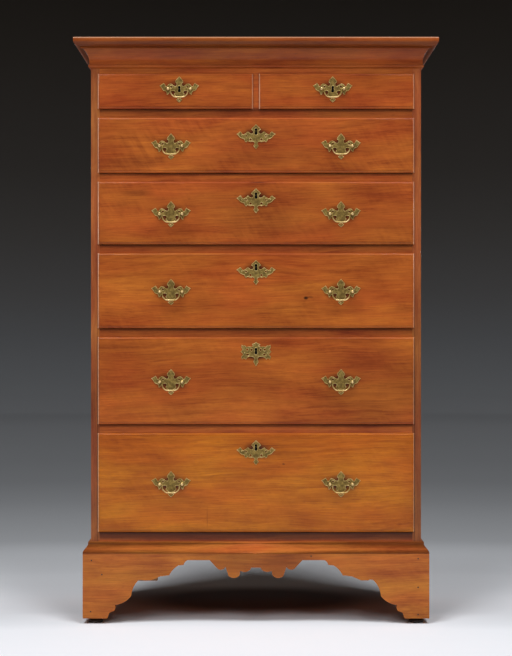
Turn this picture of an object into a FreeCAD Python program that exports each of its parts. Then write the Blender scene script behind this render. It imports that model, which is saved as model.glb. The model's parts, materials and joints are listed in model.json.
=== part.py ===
import FreeCAD, Part
import math
import os
import re
from types import SimpleNamespace

# A tall chest of drawers on a scrolled bracket base: two short drawers over five long ones.
# Millimetres. X runs across the chest, the front faces -Y, and Z goes up from the floor.
# The origin is on the floor, midway across and midway between the cornice's tip and the back.

Vector = FreeCAD.Vector
doc = FreeCAD.newDocument("TallChest")

# Driving sizes

SIZES = {
    # Case
    "case_width": 914,
    "case_depth": 450,
    "side_thickness": 24,
    "top_thickness": 22,
    "bottom_thickness": 28,
    "rail_thickness": 28,
    "rail_depth": 65,
    "top_rail_height": 78,
    "top_rail_thickness": 22,
    "divider_width": 26,
    "divider_tenon_width": 16,
    "divider_tenon_thickness": 8,
    "divider_tenon_length": 12,
    "housing_depth": 10,
    "housing_setback": 14,
    "tongue_thickness": 16,
    "tongue_flare": 3,
    "back_thickness": 14,
    "back_rabbet": 12,
    "back_gap": 0.6,
    "runner_width": 22,
    "runner_housing": 6,
    "centre_runner_width": 70,
    "guide_height": 40,
    "case_tail_pitch": 90,
    # Openings for the six rows of drawers, row 1 at the top
    "height_1": 94,
    "height_2": 149,
    "height_3": 170,
    "height_4": 204,
    "height_5": 238,
    "height_6": 270,
    # Cornice and base
    "cornice_height": 80,
    "cornice_projection": 45,
    "glide_height": 15,
    "glide_top_radius": 11,
    "glide_foot_radius": 20,
    "glide_inset": 12,
    "base_height": 178,
    "base_projection": 21,
    "base_lap": 21,
    "bracket_width": 290,
    "ornament_half": 128,
    "moulding_height": 32,
    "moulding_lap": 3,
    "foot_block": 45,
    "glue_block_drop": 56,
    "glue_block_depth": 25,
    "left_glue_block": 139,
    "right_glue_block": 70,
    "rear_bracket_width": 165,
    "rear_bracket_thickness": 18,
    # Drawers
    "drawer_back_gap": 21,
    "lip_proud": 9,
    "lip_overlap": 5,
    "lip_round": 6,
    "lip_step": 1.2,
    "block_thickness": 12,
    "front_clearance": 1.2,
    "drawer_side": 11,
    "drawer_back": 11,
    "side_headroom": 6,
    "panel_thickness": 8,
    "panel_edge": 5,
    "panel_bevel": 30,
    "panel_lift": 6,
    "groove_depth": 5,
    "drawer_tail_pitch": 80,
    # Brasses
    "plate_thickness": 1.5,
    "pull_half": 56,
    "pull_rise": 34,
    "pull_drop": 36,
    "plate_piercing": 4,
    "escutcheon_half": 55,
    "escutcheon_rise": 29,
    "escutcheon_drop": 42,
    "square_half": 43,
    "square_rise": 34,
    "square_drop": 34,
    "keyhole_width": 4,
    "keyhole_height": 15,
    "keyhole_drop": 39,
    "keyhole_rise": 8,
    "post_spacing": 62,
    "post_radius": 2.8,
    "post_hole_clearance": 0.3,
    "head_radius": 4.5,
    "head_bevel": 2,
    "pivot_reach": 11.5,
    "pin_radius": 1.5,
    "pin_clearance": 0.08,
    "nut_radius": 6,
    "nut_thickness": 3,
    "bail_half": 23.5,
    "bail_drop": 23,
    "bail_bend": 11,
    "bail_thickness": 4.2,
    "bail_pin_reach": 34,
    "short_pull_place": 212,
    "long_pull_place": 235,
    "short_pull_rise": 8,
    # Locks
    "lock_width": 46,
    "lock_height": 46,
    "lock_thickness": 9,
    "bolt_width": 24,
    "bolt_thickness": 5,
    "bolt_height": 22,
    "bolt_throw": 9,
    "bolt_clearance": 0.2,
    # How far a cutting shape runs past what it cuts
    "overrun": 5,
}

BACK_BOARDS = 6
ROWS = range(1, 7)
RAIL_ROWS = range(1, 6)
SHANK_SIDES = 4
NUT_SIDES = 4
PIERCING_SIDES = 3
PIN_HOLE_SIDES = 4
BRASS_SIDES = 6
GLIDE_SIDES = 10

# Places that follow from the driving sizes

PLACES = {
    "case_half": "case_width / 2",
    "inner_half": "case_half - side_thickness",
    "case_front": "(cornice_projection - case_depth) / 2",
    "case_back": "case_front + case_depth",
    "back_face": "case_back - back_thickness",
    "rail_back": "case_front + rail_depth",
    "base_half": "case_half + base_projection",
    "base_front_face": "case_front - base_projection",
    "base_top": "glide_height + base_height",
    "side_bottom": "base_top - base_lap",
    "moulding_top": "base_top + moulding_height",
    "floor_bottom": "moulding_top - moulding_lap",
    "opening_6": "floor_bottom + bottom_thickness",
    "opening_5": "opening_6 + height_6 + rail_thickness",
    "opening_4": "opening_5 + height_5 + rail_thickness",
    "opening_3": "opening_4 + height_4 + rail_thickness",
    "opening_2": "opening_3 + height_3 + rail_thickness",
    "opening_1": "opening_2 + height_2 + rail_thickness",
    "top_rail_bottom": "opening_1 + height_1",
    "top_bottom": "top_rail_bottom + top_rail_height",
    "case_top_level": "top_bottom + top_thickness",
    "cornice_bottom": "case_top_level - cornice_height",
    "drawer_face": "case_front - lip_proud",
    "block_back": "case_front + block_thickness",
    "box_back": "back_face - drawer_back_gap",
    "front_thickness": "lip_proud + block_thickness",
    "pivot_line": "plate_thickness + pivot_reach",
    "rear_block_front": "case_back - rear_bracket_thickness - foot_block",
}

# Outlines: shares of the width, shares of the height, and how far the edge that arrives bows, as a
# share of its own length. A positive bow lies to the left of the way that the outline is walked.

BRACKET_SHARES = [
    (0, 0, 0),
    (0.234, 0, 0),
    (0.255, 0.090, 0),
    (0.300, 0.118, 0),
    (0.307, 0.208, -0.12),
    (0.459, 0.343, -0.10),
    (0.517, 0.567, 0.08),
    (0.583, 0.590, 0.20),
    (0.648, 0.590, 0),
    (0.738, 0.652, 0),
    (0.824, 0.669, 0),
    (0.910, 0.820, 0.08),
    (0.962, 0.831, 0),
    (1, 0.904, 0.14),
]
SIDE_BRACKET_POINTS = 10

ORNAMENT_SHARES = [
    (1, 0.904, 0),
    (0.828, 0.770, 0),
    (0.656, 0.798, -0.22),
    (0.594, 0.663, 0),
    (0.352, 0.674, -0.24),
    (0.336, 0.736, 0),
    (0.125, 0.753, -0.16),
    (0.102, 0.787, 0),
]

REAR_BRACKET_SHARES = [
    (0, 0),
    (0.42, 0),
    (0.62, 0.44),
    (1, 0.78),
    (1, 1),
    (0, 1),
]

# Moulding profiles: shares of the projection and of the height from below, and the outward bow.

CORNICE_SHARES = [
    (0, 0, 0),
    (0.10, 0.03, 0),
    (0.10, 0.12, 0.42),
    (0.09, 0.16, 0),
    (0.45, 0.65, -0.11),
    (0.60, 0.66, 0),
    (0.60, 0.71, 0),
    (1, 0.86, 0.20),
    (1, 0.96, 0),
    (0.94, 1, 0.20),
    (0, 1, 0),
]

BASE_MOULDING_SHARES = [
    (0, 0, 0),
    (1, 0, 0),
    (1, 0.08, 0),
    (0.66, 0.43, 0.13),
    (0.36, 0.92, -0.13),
    (0.32, 1, 0),
    (0, 1, 0),
]

# Pierced plates, right half from the top to the bottom: heights are shares of the rise above the
# middle line and of the drop below it.

PULL_SHARES = [
    (0, 1),
    (0.27, 0.60),
    (0.17, 0.36),
    (0.44, 0.43),
    (0.60, 0.32),
    (0.81, 0.52),
    (1, 0.22),
    (0.86, 0.08),
    (0.72, -0.22),
    (0.53, -0.43),
    (0.36, -0.42),
    (0.20, -0.68),
    (0.22, -0.82),
    (0, -1),
]
PULL_PIERCING_SHARES = [(0.28, -0.25)]

ESCUTCHEON_SHARES = [
    (0, 1),
    (0.25, 0.56),
    (0.28, 0.22),
    (0.40, 0.30),
    (0.56, 0.12),
    (0.84, 0.30),
    (1, -0.02),
    (0.82, -0.06),
    (0.66, -0.30),
    (0.42, -0.54),
    (0.20, -0.52),
    (0.10, -0.60),
    (0.14, -0.74),
    (0, -1),
]
ESCUTCHEON_PIERCING_SHARES = [(0.63, 0.02), (0.28, -0.34)]

SQUARE_SHARES = [
    (0, 1),
    (0.22, 0.72),
    (0.44, 0.62),
    (0.84, 0.94),
    (1, 0.62),
    (0.66, 0.36),
    (0.60, 0),
    (0.66, -0.36),
    (1, -0.62),
    (0.84, -0.94),
    (0.44, -0.62),
    (0.22, -0.72),
    (0, -1),
]
SQUARE_PIERCING_SHARES = [(0.40, 0.30), (0.40, -0.36)]

HEAD_TURN_SHARE = 0.5
TAIL_ROOT_SHARE = 0.60
TAIL_TIP_SHARE = 0.74


def fill_sheets():
    """Write the driving sizes and the places worked out from them, each under its alias."""
    sizes = doc.addObject("Spreadsheet::Sheet", "Sizes")
    for row, (name, number) in enumerate(SIZES.items(), start=1):
        sizes.set(f"A{row}", name)
        sizes.set(f"B{row}", str(number))
        sizes.setAlias(f"B{row}", name)
    places = doc.addObject("Spreadsheet::Sheet", "Places")
    for row, (name, formula) in enumerate(PLACES.items(), start=1):
        places.set(f"A{row}", name)
        places.set(f"B{row}", "=" + linked(formula, within_places=True))
        places.setAlias(f"B{row}", name)
    doc.recompute()
    numbers = {name: float(sizes.get(name)) for name in SIZES}
    numbers.update({name: float(places.get(name)) for name in PLACES})
    return SimpleNamespace(**numbers)


def linked(formula, within_places=False):
    """The formula with each alias written as its sheet's cell."""
    def cell(found):
        word = found.group()
        if word in SIZES:
            return "Sizes." + word
        if word in PLACES and not within_places:
            return "Places." + word
        return word
    return re.sub(r"[a-z][a-z_0-9]*", cell, formula)


def bind(piece, **formulas):
    """Bind properties of a piece to formulas in the sheets' aliases."""
    for name, formula in formulas.items():
        piece.setExpression(name, linked(formula))


def place(piece, x="0", y="0", z="0"):
    """Bind where a piece's own origin stands."""
    piece.setExpression("Placement.Base.x", linked(x))
    piece.setExpression("Placement.Base.y", linked(y))
    piece.setExpression("Placement.Base.z", linked(z))


def board(name, x, y, z):
    """A plain board, from the low to the high formula along each axis."""
    piece = doc.addObject("Part::Box", name)
    bind(piece,
         Length=f"({x[1]}) - ({x[0]})",
         Width=f"({y[1]}) - ({y[0]})",
         Height=f"({z[1]}) - ({z[0]})")
    place(piece, x[0], y[0], z[0])
    return piece


def group(name, pieces):
    """Several separate solids that are kept together."""
    piece = doc.addObject("Part::Compound", name)
    piece.Links = pieces
    return piece


def cut(name, base, tools):
    """The base with the room that the tools take cut out of it."""
    piece = doc.addObject("Part::Cut", name)
    piece.Base = base
    piece.Tool = tools[0] if len(tools) == 1 else group(name + "_tools", tools)
    return piece


def fused(name, pieces):
    """One solid worked from one piece of stuff, though several shapes describe it."""
    piece = doc.addObject("Part::MultiFuse", name)
    piece.Shapes = pieces
    return piece


def copy_of(name, master, x="0", y="0", z="0"):
    """The same shape again in another place."""
    master.recompute(True)
    piece = doc.addObject("Part::Feature", name)
    piece.Shape = Part.Compound([master.Shape])
    place(piece, x, y, z)
    return piece


def origin_part(body, role):
    """A plane or axis of a body's own origin."""
    return [part for part in body.Origin.OriginFeatures if part.Role == role][0]


def bowed_edge(start, end, bow_share):
    """A straight edge, or an arc whose height is that share of its chord, to the left of its way."""
    if bow_share == 0:
        return Part.LineSegment(start, end)
    chord = end - start
    left = Vector(-chord.y, chord.x, 0)
    return Part.Arc(start, (start + end) / 2 + left * bow_share, end)


def closed_outline(points):
    """Edges round a closed outline of (across, up, bow of the edge that arrives)."""
    corners = [Vector(across, up, 0) for across, up, bow in points]
    bows = [bow for across, up, bow in points]
    edges = []
    for number in range(len(points)):
        edges.append(bowed_edge(corners[number - 1], corners[number], bows[number]))
    return edges


def ring(across, up, radius, sides, turn_share=0):
    """Edges of a regular polygon, its first corner turned a share of one side from the right."""
    corners = []
    for number in range(sides):
        angle = 2 * math.pi * (number + turn_share) / sides
        corners.append((across + radius * math.cos(angle), up + radius * math.sin(angle)))
    return closed_outline(straight(corners))


def prism(name, sides, radius, axis, low, high, x="0", y="0"):
    """A regular prism along X or Y, from the low to the high formula."""
    piece = doc.addObject("Part::Prism", name)
    piece.Polygon = sides
    hinge, turn = {"x": (Vector(0, 1, 0), 90), "y": (Vector(1, 0, 0), -90)}[axis]
    piece.Placement = FreeCAD.Placement(Vector(0, 0, 0), FreeCAD.Rotation(hinge, turn))
    bind(piece, Circumradius=radius, Height=f"({high}) - ({low})")
    place(piece, x=low if axis == "x" else x, y=low if axis == "y" else y)
    return piece


def drawn(body, name, role, edges):
    """A sketch of those edges on one of the body's own planes."""
    sketch = body.newObject("Sketcher::SketchObject", name)
    sketch.AttachmentSupport = [(origin_part(body, role), "")]
    sketch.MapMode = "FlatFace"
    sketch.addGeometry(edges, False)
    return sketch


def padded(name, role, edges, length, both_ways=False):
    """An outline drawn on a plane and given a thickness."""
    body = doc.addObject("PartDesign::Body", name)
    pad = body.newObject("PartDesign::Pad", name + "_pad")
    pad.Profile = drawn(body, name + "_outline", role, edges)
    pad.SideType = "Symmetric" if both_ways else "One side"
    bind(pad, Length=length)
    return body


def bevel(body, chosen, width):
    """Bevel the edges of a body's pad whose boxes pass the test."""
    doc.recompute()
    pad = body.Tip
    names = []
    for number, edge in enumerate(pad.Shape.Edges, start=1):
        if chosen(edge.BoundBox):
            names.append(f"Edge{number}")
    bevels = body.newObject("PartDesign::Chamfer", body.Name + "_bevels")
    bevels.Base = (pad, names)
    bind(bevels, Size=width)


def mirrored_run(points, centre):
    """Half a bottom edge, walked towards the centre line, and then its mirror image."""
    later_bows = [bow for across, up, bow in points[1:]] + [0]
    mirror = [(2 * centre - point[0], point[1], bow) for point, bow in zip(points, later_bows)]
    return points + mirror[::-1]


def tail_row(low, high, pitch, root, tip):
    """Corners of a row of dovetails, from low to high, that reach from the root to the tip."""
    count = max(2, round((high - low) / pitch))
    step = (high - low) / count
    corners = []
    for number in range(count):
        middle = low + (number + 1 / 2) * step
        narrow = step * TAIL_ROOT_SHARE / 2
        wide = step * TAIL_TIP_SHARE / 2
        corners.append((root, middle - narrow))
        corners.append((tip, middle - wide))
        corners.append((tip, middle + wide))
        corners.append((root, middle + narrow))
    return corners


def straight(corners):
    """Outline points with straight edges between them."""
    return [(across, up, 0) for across, up in corners]


def make_case_top():
    """The top board, with through dovetails at both ends."""
    right = tail_row(size.case_front, size.case_back, size.case_tail_pitch, size.inner_half, size.case_half)
    left = [(-across, up) for across, up in right]
    corners = [(-size.inner_half, size.case_front), (size.inner_half, size.case_front)]
    corners += right
    corners += [(size.inner_half, size.case_back), (-size.inner_half, size.case_back)]
    corners += left[::-1]
    top = padded("case_top", "XY_Plane", closed_outline(straight(corners)), "top_thickness")
    place(top, z="top_bottom")
    return top


def make_case_bottom():
    """The bottom board, housed in the sides and stopped short of their front edges."""
    level = ("floor_bottom", "opening_6")
    middle = board("bottom_middle", ("-inner_half", "inner_half"), ("case_front", "back_face"), level)
    ends = board("bottom_ends", ("-inner_half - housing_depth", "inner_half + housing_depth"),
                 ("case_front + housing_setback", "back_face"), level)
    return fused("case_bottom", [middle, ends])


def make_back_boards():
    """Horizontal boards nailed into the rabbets at the back of the sides."""
    step = f"(top_bottom - floor_bottom) / {BACK_BOARDS}"
    boards = []
    for number in range(BACK_BOARDS):
        low = f"floor_bottom + {number} * {step}"
        high = f"floor_bottom + {number + 1} * {step} - back_gap"
        boards.append(board(f"back_board_{number + 1}",
                            ("-inner_half - back_rabbet", "inner_half + back_rabbet"),
                            ("back_face", "case_back"), (low, high)))
    return boards


def make_rail_blank():
    """A drawer rail with a stopped sliding dovetail on each end, its underside at zero."""
    middle = board("rail_middle", ("-inner_half", "inner_half"), ("case_front", "rail_back"),
                   ("0", "rail_thickness"))
    half = size.tongue_thickness / 2
    centre = size.rail_thickness / 2
    end = size.inner_half + size.housing_depth
    right = [(size.inner_half, centre - half), (end, centre - half - size.tongue_flare),
             (end, centre + half + size.tongue_flare), (size.inner_half, centre + half)]
    left = [(-across, up) for across, up in right[::-1]]
    tongue = padded("rail_tongue", "XZ_Plane", closed_outline(straight(right + left)),
                    "rail_depth - housing_setback")
    place(tongue, y="rail_back")
    return fused("rail_blank", [middle, tongue])


def make_divider():
    """The short upright between the two top drawers, tenoned into the rails above and below."""
    post = board("divider_post", ("-divider_width / 2", "divider_width / 2"),
                 ("case_front", "rail_back"), ("opening_1", "top_rail_bottom"))
    middle = "case_front + top_rail_thickness / 2"
    tenons = board("divider_tenons", ("-divider_tenon_width / 2", "divider_tenon_width / 2"),
                   (middle + " - divider_tenon_thickness / 2", middle + " + divider_tenon_thickness / 2"),
                   ("opening_1 - divider_tenon_length", "top_rail_bottom + divider_tenon_length"))
    return fused("short_drawer_divider", [post, tenons])


def make_runners():
    """A pair of runners behind each rail, let into the sides, level with the rail."""
    runners = []
    for row in RAIL_ROWS:
        level = (f"opening_{row} - rail_thickness", f"opening_{row}")
        reach = ("rail_back", "back_face")
        runners.append(board(f"runner_left_{row}",
                             ("-inner_half - runner_housing", "runner_width - inner_half"), reach, level))
        runners.append(board(f"runner_right_{row}",
                             ("inner_half - runner_width", "inner_half + runner_housing"), reach, level))
    return runners


def make_centre_runner():
    """The runner under the inner sides of the two short drawers, with the guide between them."""
    reach = ("rail_back", "back_face")
    runner = board("centre_runner", ("-centre_runner_width / 2", "centre_runner_width / 2"), reach,
                   ("opening_1 - rail_thickness", "opening_1"))
    guide = board("centre_guide", ("-divider_width / 2", "divider_width / 2"), reach,
                  ("opening_1", "opening_1 + guide_height"))
    return fused("short_drawer_runner", [runner, guide])


def make_rails(blank, divider, mortises):
    """The five rails, each with the mortises of the locks below it, the top one for the divider too."""
    rails = []
    for row in RAIL_ROWS:
        plain = copy_of(f"rail_blank_{row}", blank, z=f"opening_{row} - rail_thickness")
        tools = list(mortises[row + 1])
        if row == RAIL_ROWS[0]:
            tools.append(divider)
        rails.append(cut(f"rail_{row}", plain, tools))
    return rails


def make_top_rail(divider, mortises):
    """The wide board behind the cornice, tongued into the sides."""
    level = ("top_rail_bottom", "top_bottom")
    middle = board("top_rail_middle", ("-inner_half", "inner_half"),
                   ("case_front", "case_front + top_rail_thickness"), level)
    ends = board("top_rail_ends", ("-inner_half - housing_depth", "inner_half + housing_depth"),
                 ("case_front + housing_setback", "case_front + top_rail_thickness"), level)
    return cut("top_rail", fused("top_rail_blank", [middle, ends]), [divider] + mortises)


def make_sides(tools):
    """The two case sides, with every housing, socket and rabbet that the other boards need."""
    reach = ("case_front", "case_back")
    level = ("side_bottom", "case_top_level")
    left = board("side_blank_left", ("-case_half", "-inner_half"), reach, level)
    right = board("side_blank_right", ("inner_half", "case_half"), reach, level)
    return cut("case_side_left", left, tools), cut("case_side_right", right, tools)


def make_mitre_zone():
    """The room in front of the case between the two mitres at its front corners."""
    reach = size.cornice_projection + size.base_projection
    corners = [(-size.case_half, size.case_front), (-size.case_half - reach, size.case_front - reach),
               (size.case_half + reach, size.case_front - reach), (size.case_half, size.case_front)]
    return padded("mitre_zone", "XY_Plane", closed_outline(straight(corners)), "case_top_level + overrun")


def moulding_outline(shares, wall, outward, bottom, projection, height):
    """A moulding's section against a wall; outward is 1 or -1, the way that it stands out."""
    points = []
    for out, up, bow in shares:
        points.append((wall + outward * out * projection, bottom + up * height, -outward * bow))
    return closed_outline(points)


def make_moulding(name, shares, bottom, projection, height, zone):
    """A moulding round the front and the two sides, mitred at the front corners."""
    sizes = (getattr(size, bottom), getattr(size, projection), getattr(size, height))
    long_way = f"2 * (case_half + {projection})"
    front = padded(name + "_front_length", "YZ_Plane",
                   moulding_outline(shares, size.case_front, -1, *sizes), long_way, both_ways=True)
    mitred_front = doc.addObject("Part::Common", name + "_front")
    mitred_front.Base = front
    mitred_front.Tool = zone
    pieces = [mitred_front]
    for side, outward in (("left", -1), ("right", 1)):
        length = padded(f"{name}_{side}_length", "XZ_Plane",
                        moulding_outline(shares, outward * size.case_half, outward, *sizes),
                        "2 * case_back", both_ways=True)
        pieces.append(cut(f"{name}_{side}", length, [zone]))
    return pieces


def bracket_points(end, points):
    """The scrolled edge of a bracket foot, from a board's end inwards."""
    run = []
    for across, up, bow in points:
        run.append((end + across * size.bracket_width, size.glide_height + up * size.base_height, bow))
    return run


def make_base_front(zone):
    """The front of the bracket base: two scrolled feet, a flat arch and a lobed drop in the middle."""
    run = bracket_points(-size.base_half, BRACKET_SHARES)
    for across, up, bow in ORNAMENT_SHARES:
        run.append((-across * size.ornament_half, size.glide_height + up * size.base_height, bow))
    points = mirrored_run(run, 0)
    points += straight([(size.base_half, size.base_top), (-size.base_half, size.base_top)])
    plain = padded("base_front_length", "XZ_Plane", closed_outline(points), "base_projection")
    place(plain, y="case_front")
    front = doc.addObject("Part::Common", "base_front")
    front.Base = plain
    front.Tool = zone
    return front


def make_base_sides(zone):
    """The sides of the bracket base, scrolled at both feet and straight between them."""
    run = bracket_points(size.base_front_face, BRACKET_SHARES[:SIDE_BRACKET_POINTS])
    points = mirrored_run(run, (size.base_front_face + size.case_back) / 2)
    points += straight([(size.case_back, size.base_top), (size.base_front_face, size.base_top)])
    sides = []
    for side, edge in (("left", "-base_half"), ("right", "case_half")):
        plain = padded(f"base_{side}_length", "YZ_Plane", closed_outline(points), "base_projection")
        place(plain, x=edge)
        sides.append(cut(f"base_{side}", plain, [zone]))
    return sides


def make_rear_brackets():
    """Plain brackets across the back of the rear feet, under the case sides."""
    brackets = []
    height = size.side_bottom - size.glide_height
    for side, inward in (("left", 1), ("right", -1)):
        corners = []
        for across, up in REAR_BRACKET_SHARES:
            corners.append((inward * (across * size.rear_bracket_width - size.case_half),
                            size.glide_height + up * height))
        bracket = padded(f"rear_bracket_{side}", "XZ_Plane", closed_outline(straight(corners)),
                         "rear_bracket_thickness")
        place(bracket, y="case_back")
        brackets.append(bracket)
    return brackets


def make_foot_blocks():
    """Corner blocks that carry the case on the feet, and glue blocks behind the front."""
    level = ("glide_height", "side_bottom")
    front = ("case_front", "case_front + foot_block")
    rear = ("rear_block_front", "rear_block_front + foot_block")
    left = ("-case_half", "foot_block - case_half")
    right = ("case_half - foot_block", "case_half")
    blocks = []
    for name, across, deep in (("front_left", left, front), ("front_right", right, front),
                               ("rear_left", left, rear), ("rear_right", right, rear)):
        blocks.append(board(f"foot_block_{name}", across, deep, level))
    deep = ("case_front", "case_front + glue_block_depth")
    level = ("side_bottom - glue_block_drop", "side_bottom")
    blocks.append(board("glue_block_left", (left[1], left[1] + " + left_glue_block"), deep, level))
    blocks.append(board("glue_block_right", (right[0] + " - right_glue_block", right[0]), deep, level))
    return blocks


def make_glide():
    """A flared iron glide about its own origin."""
    foot = ring(0, 0, size.glide_foot_radius, GLIDE_SIDES)
    glide = padded("glide", "XY_Plane", foot, "glide_height")
    flare = f"(glide_foot_radius - glide_top_radius) * cos(180 deg / {GLIDE_SIDES})"
    bevel(glide, lambda edge: edge.ZMin > size.glide_height / 2, flare)
    return glide


def make_glides():
    """The four glides, under the corner blocks."""
    master = make_glide()
    across = "case_half - glide_inset"
    front = "case_front + glide_inset"
    rear = "rear_block_front + foot_block - glide_inset"
    glides = []
    for name, x, y in (("front_left", f"-({across})", front), ("front_right", across, front),
                       ("rear_left", f"-({across})", rear), ("rear_right", across, rear)):
        glides.append(copy_of(f"glide_{name}", master, x, y))
    return glides


def plate_outline(shares, half, rise, drop):
    """A brass plate's outline, the right half from the top down and then its mirror image."""
    right = []
    for across, up in shares:
        right.append((across * half, up * (rise if up > 0 else drop)))
    left = [(-across, up) for across, up in right[1:-1]]
    return closed_outline(straight(right + left[::-1]))


def piercings(shares, half, rise, drop):
    """Three-cornered holes in a plate, in mirrored pairs."""
    edges = []
    for across, up in shares:
        level = up * (rise if up > 0 else drop)
        edges += ring(across * half, level, size.plate_piercing, PIERCING_SIDES)
        edges += ring(-across * half, level, -size.plate_piercing, PIERCING_SIDES)
    return edges


def keyhole_edges(centre):
    """A slot with pointed ends, its middle at that height."""
    half = size.keyhole_width / 2
    tip = size.keyhole_height / 2
    reach = tip - half
    corners = [(0, centre - tip), (half, centre - reach), (half, centre + reach),
               (0, centre + tip), (-half, centre + reach), (-half, centre - reach)]
    return closed_outline(straight(corners))


def post_hole_edges():
    """The two holes that a pull's posts pass through."""
    hole = size.post_radius + size.post_hole_clearance
    half = size.post_spacing / 2
    return ring(-half, 0, hole, SHANK_SIDES) + ring(half, 0, hole, SHANK_SIDES)


def make_pull_plates():
    """The plates of the bail pulls, without and with a keyhole."""
    sizes = (size.pull_half, size.pull_rise, size.pull_drop)
    edges = plate_outline(PULL_SHARES, *sizes) + piercings(PULL_PIERCING_SHARES, *sizes)
    plain = padded("pull_plate", "XZ_Plane", edges, "plate_thickness")
    keyed = padded("keyed_pull_plate", "XZ_Plane", edges + keyhole_edges(0), "plate_thickness")
    return plain, keyed


def make_escutcheons():
    """The keyhole plates of the long drawers; the fifth row's is an odd, squarer one."""
    sizes = (size.escutcheon_half, size.escutcheon_rise, size.escutcheon_drop)
    edges = plate_outline(ESCUTCHEON_SHARES, *sizes) + piercings(ESCUTCHEON_PIERCING_SHARES, *sizes)
    usual = padded("escutcheon", "XZ_Plane", edges + keyhole_edges(size.keyhole_rise), "plate_thickness")
    sizes = (size.square_half, size.square_rise, size.square_drop)
    edges = plate_outline(SQUARE_SHARES, *sizes) + piercings(SQUARE_PIERCING_SHARES, *sizes)
    square = padded("square_escutcheon", "XZ_Plane", edges + keyhole_edges(size.keyhole_rise),
                    "plate_thickness")
    return usual, square


def make_post_head():
    """The bevelled head of a post, from the plate's face to a little past the bail's pin."""
    outline = ring(0, 0, size.head_radius, BRASS_SIDES, HEAD_TURN_SHARE)
    head = padded("post_head", "XZ_Plane", outline, "pivot_reach + head_radius")
    bevel(head, lambda edge: edge.YMax < -size.pivot_reach, "head_bevel")
    place(head, y="-plate_thickness")
    return head


def make_post():
    """A bail post: a square shank through the drawer's front, and a drilled head."""
    shank = prism("post_shank", SHANK_SIDES, "post_radius", "y", "-plate_thickness", "front_thickness")
    hole_radius = f"(pin_radius + pin_clearance) / cos(180 deg / {PIN_HOLE_SIDES})"
    hole = prism("pin_hole", PIN_HOLE_SIDES, hole_radius, "x", "-head_radius - overrun",
                 "head_radius + overrun", y="-pivot_line")
    return cut("post", fused("post_blank", [shank, make_post_head()]), [hole])


def make_pull(name, plate, post):
    """A plate cast in one with its two posts, and the nuts on the posts' ends."""
    casting = [plate]
    nuts = []
    for side, x in (("left", "-post_spacing / 2"), ("right", "post_spacing / 2")):
        casting.append(copy_of(f"{name}_post_{side}", post, x=x))
        nuts.append(prism(f"{name}_nut_{side}", NUT_SIDES, "nut_radius", "y", "front_thickness",
                          "front_thickness + nut_thickness", x=x))
    return group(name, [fused(name + "_casting", casting)] + nuts)


def make_bail():
    """A hanging handle: a bent bar with a pin turned out at each end, the pins' line at zero."""
    half = size.bail_half
    top = size.bail_thickness / 2
    low = -size.bail_drop
    bend = size.bail_bend
    path = [Vector(-half, top, 0), Vector(-half, low + bend, 0), Vector(bend - half, low, 0),
            Vector(half - bend, low, 0), Vector(half, low + bend, 0), Vector(half, top, 0)]
    edges = [Part.LineSegment(start, end) for start, end in zip(path[:-1], path[1:])]
    body = doc.addObject("PartDesign::Body", "bail_loop")
    spine = drawn(body, "bail_path", "XZ_Plane", edges)
    section = drawn(body, "bail_section", "XY_Plane", ring(-half, 0, size.bail_thickness / 2, BRASS_SIDES))
    section.setExpression("AttachmentOffset.Base.z", linked("bail_thickness / 2"))
    doc.recompute()
    bar = body.newObject("PartDesign::AdditivePipe", "bail_bar")
    bar.Profile = section
    bar.Spine = (spine, [f"Edge{number + 1}" for number in range(len(edges))])
    bar.Transition = "Right corner"
    left = prism("bail_pin_left", BRASS_SIDES, "pin_radius", "x", "-bail_pin_reach", "-bail_half")
    right = prism("bail_pin_right", BRASS_SIDES, "pin_radius", "x", "bail_half", "bail_pin_reach")
    return fused("bail", [body, left, right])


def make_lock():
    """A lock case with a slot for its bolt, the bolt, and the mortise that the bolt shoots into."""
    half = "lock_width / 2"
    case = board("lock_blank", ("-" + half, half), ("0", "lock_thickness"), ("-lock_height", "0"))
    half = "bolt_width / 2"
    front = "(lock_thickness - bolt_thickness) / 2"
    back = "(lock_thickness + bolt_thickness) / 2"
    bolt = board("bolt", ("-" + half, half), (front, back), ("-bolt_height", "0"))
    across = (f"-{half} - bolt_clearance", f"{half} + bolt_clearance")
    deep = (front + " - bolt_clearance", back + " + bolt_clearance")
    slot = board("bolt_slot", across, deep, ("-bolt_height", "overrun"))
    mortise = board("bolt_mortise", across, deep, ("0", "bolt_throw + bolt_clearance"))
    return cut("lock_case", case, [slot]), bolt, mortise


def make_cores():
    """What is bored out of a drawer front: a pair of post holes, and a keyhole."""
    deep = "front_thickness + overrun"
    posts = padded("post_core", "XZ_Plane", post_hole_edges(), f"2 * ({deep})", both_ways=True)
    keyhole = board("keyhole_core", ("-keyhole_width / 2", "keyhole_width / 2"), ("-overrun", deep),
                    ("-keyhole_height / 2", "keyhole_height / 2"))
    return posts, keyhole


def make_drawer_side(name, row):
    """A drawer side's blank, with dovetails into the front and the back."""
    bottom = getattr(size, f"opening_{row}")
    top = bottom + getattr(size, f"height_{row}") - size.side_headroom
    panel_top = bottom + size.panel_lift + size.panel_thickness
    back_root = size.box_back - size.drawer_back
    corners = [(size.block_back, bottom)]
    corners += tail_row(bottom, top, size.drawer_tail_pitch, size.block_back, size.case_front)
    corners += [(size.block_back, top), (back_root, top)]
    corners += tail_row(panel_top, top, size.drawer_tail_pitch, back_root, size.box_back)[::-1]
    corners += [(back_root, panel_top), (size.box_back, panel_top), (size.box_back, bottom)]
    return padded(name, "YZ_Plane", closed_outline(straight(corners)), "drawer_side")


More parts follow.
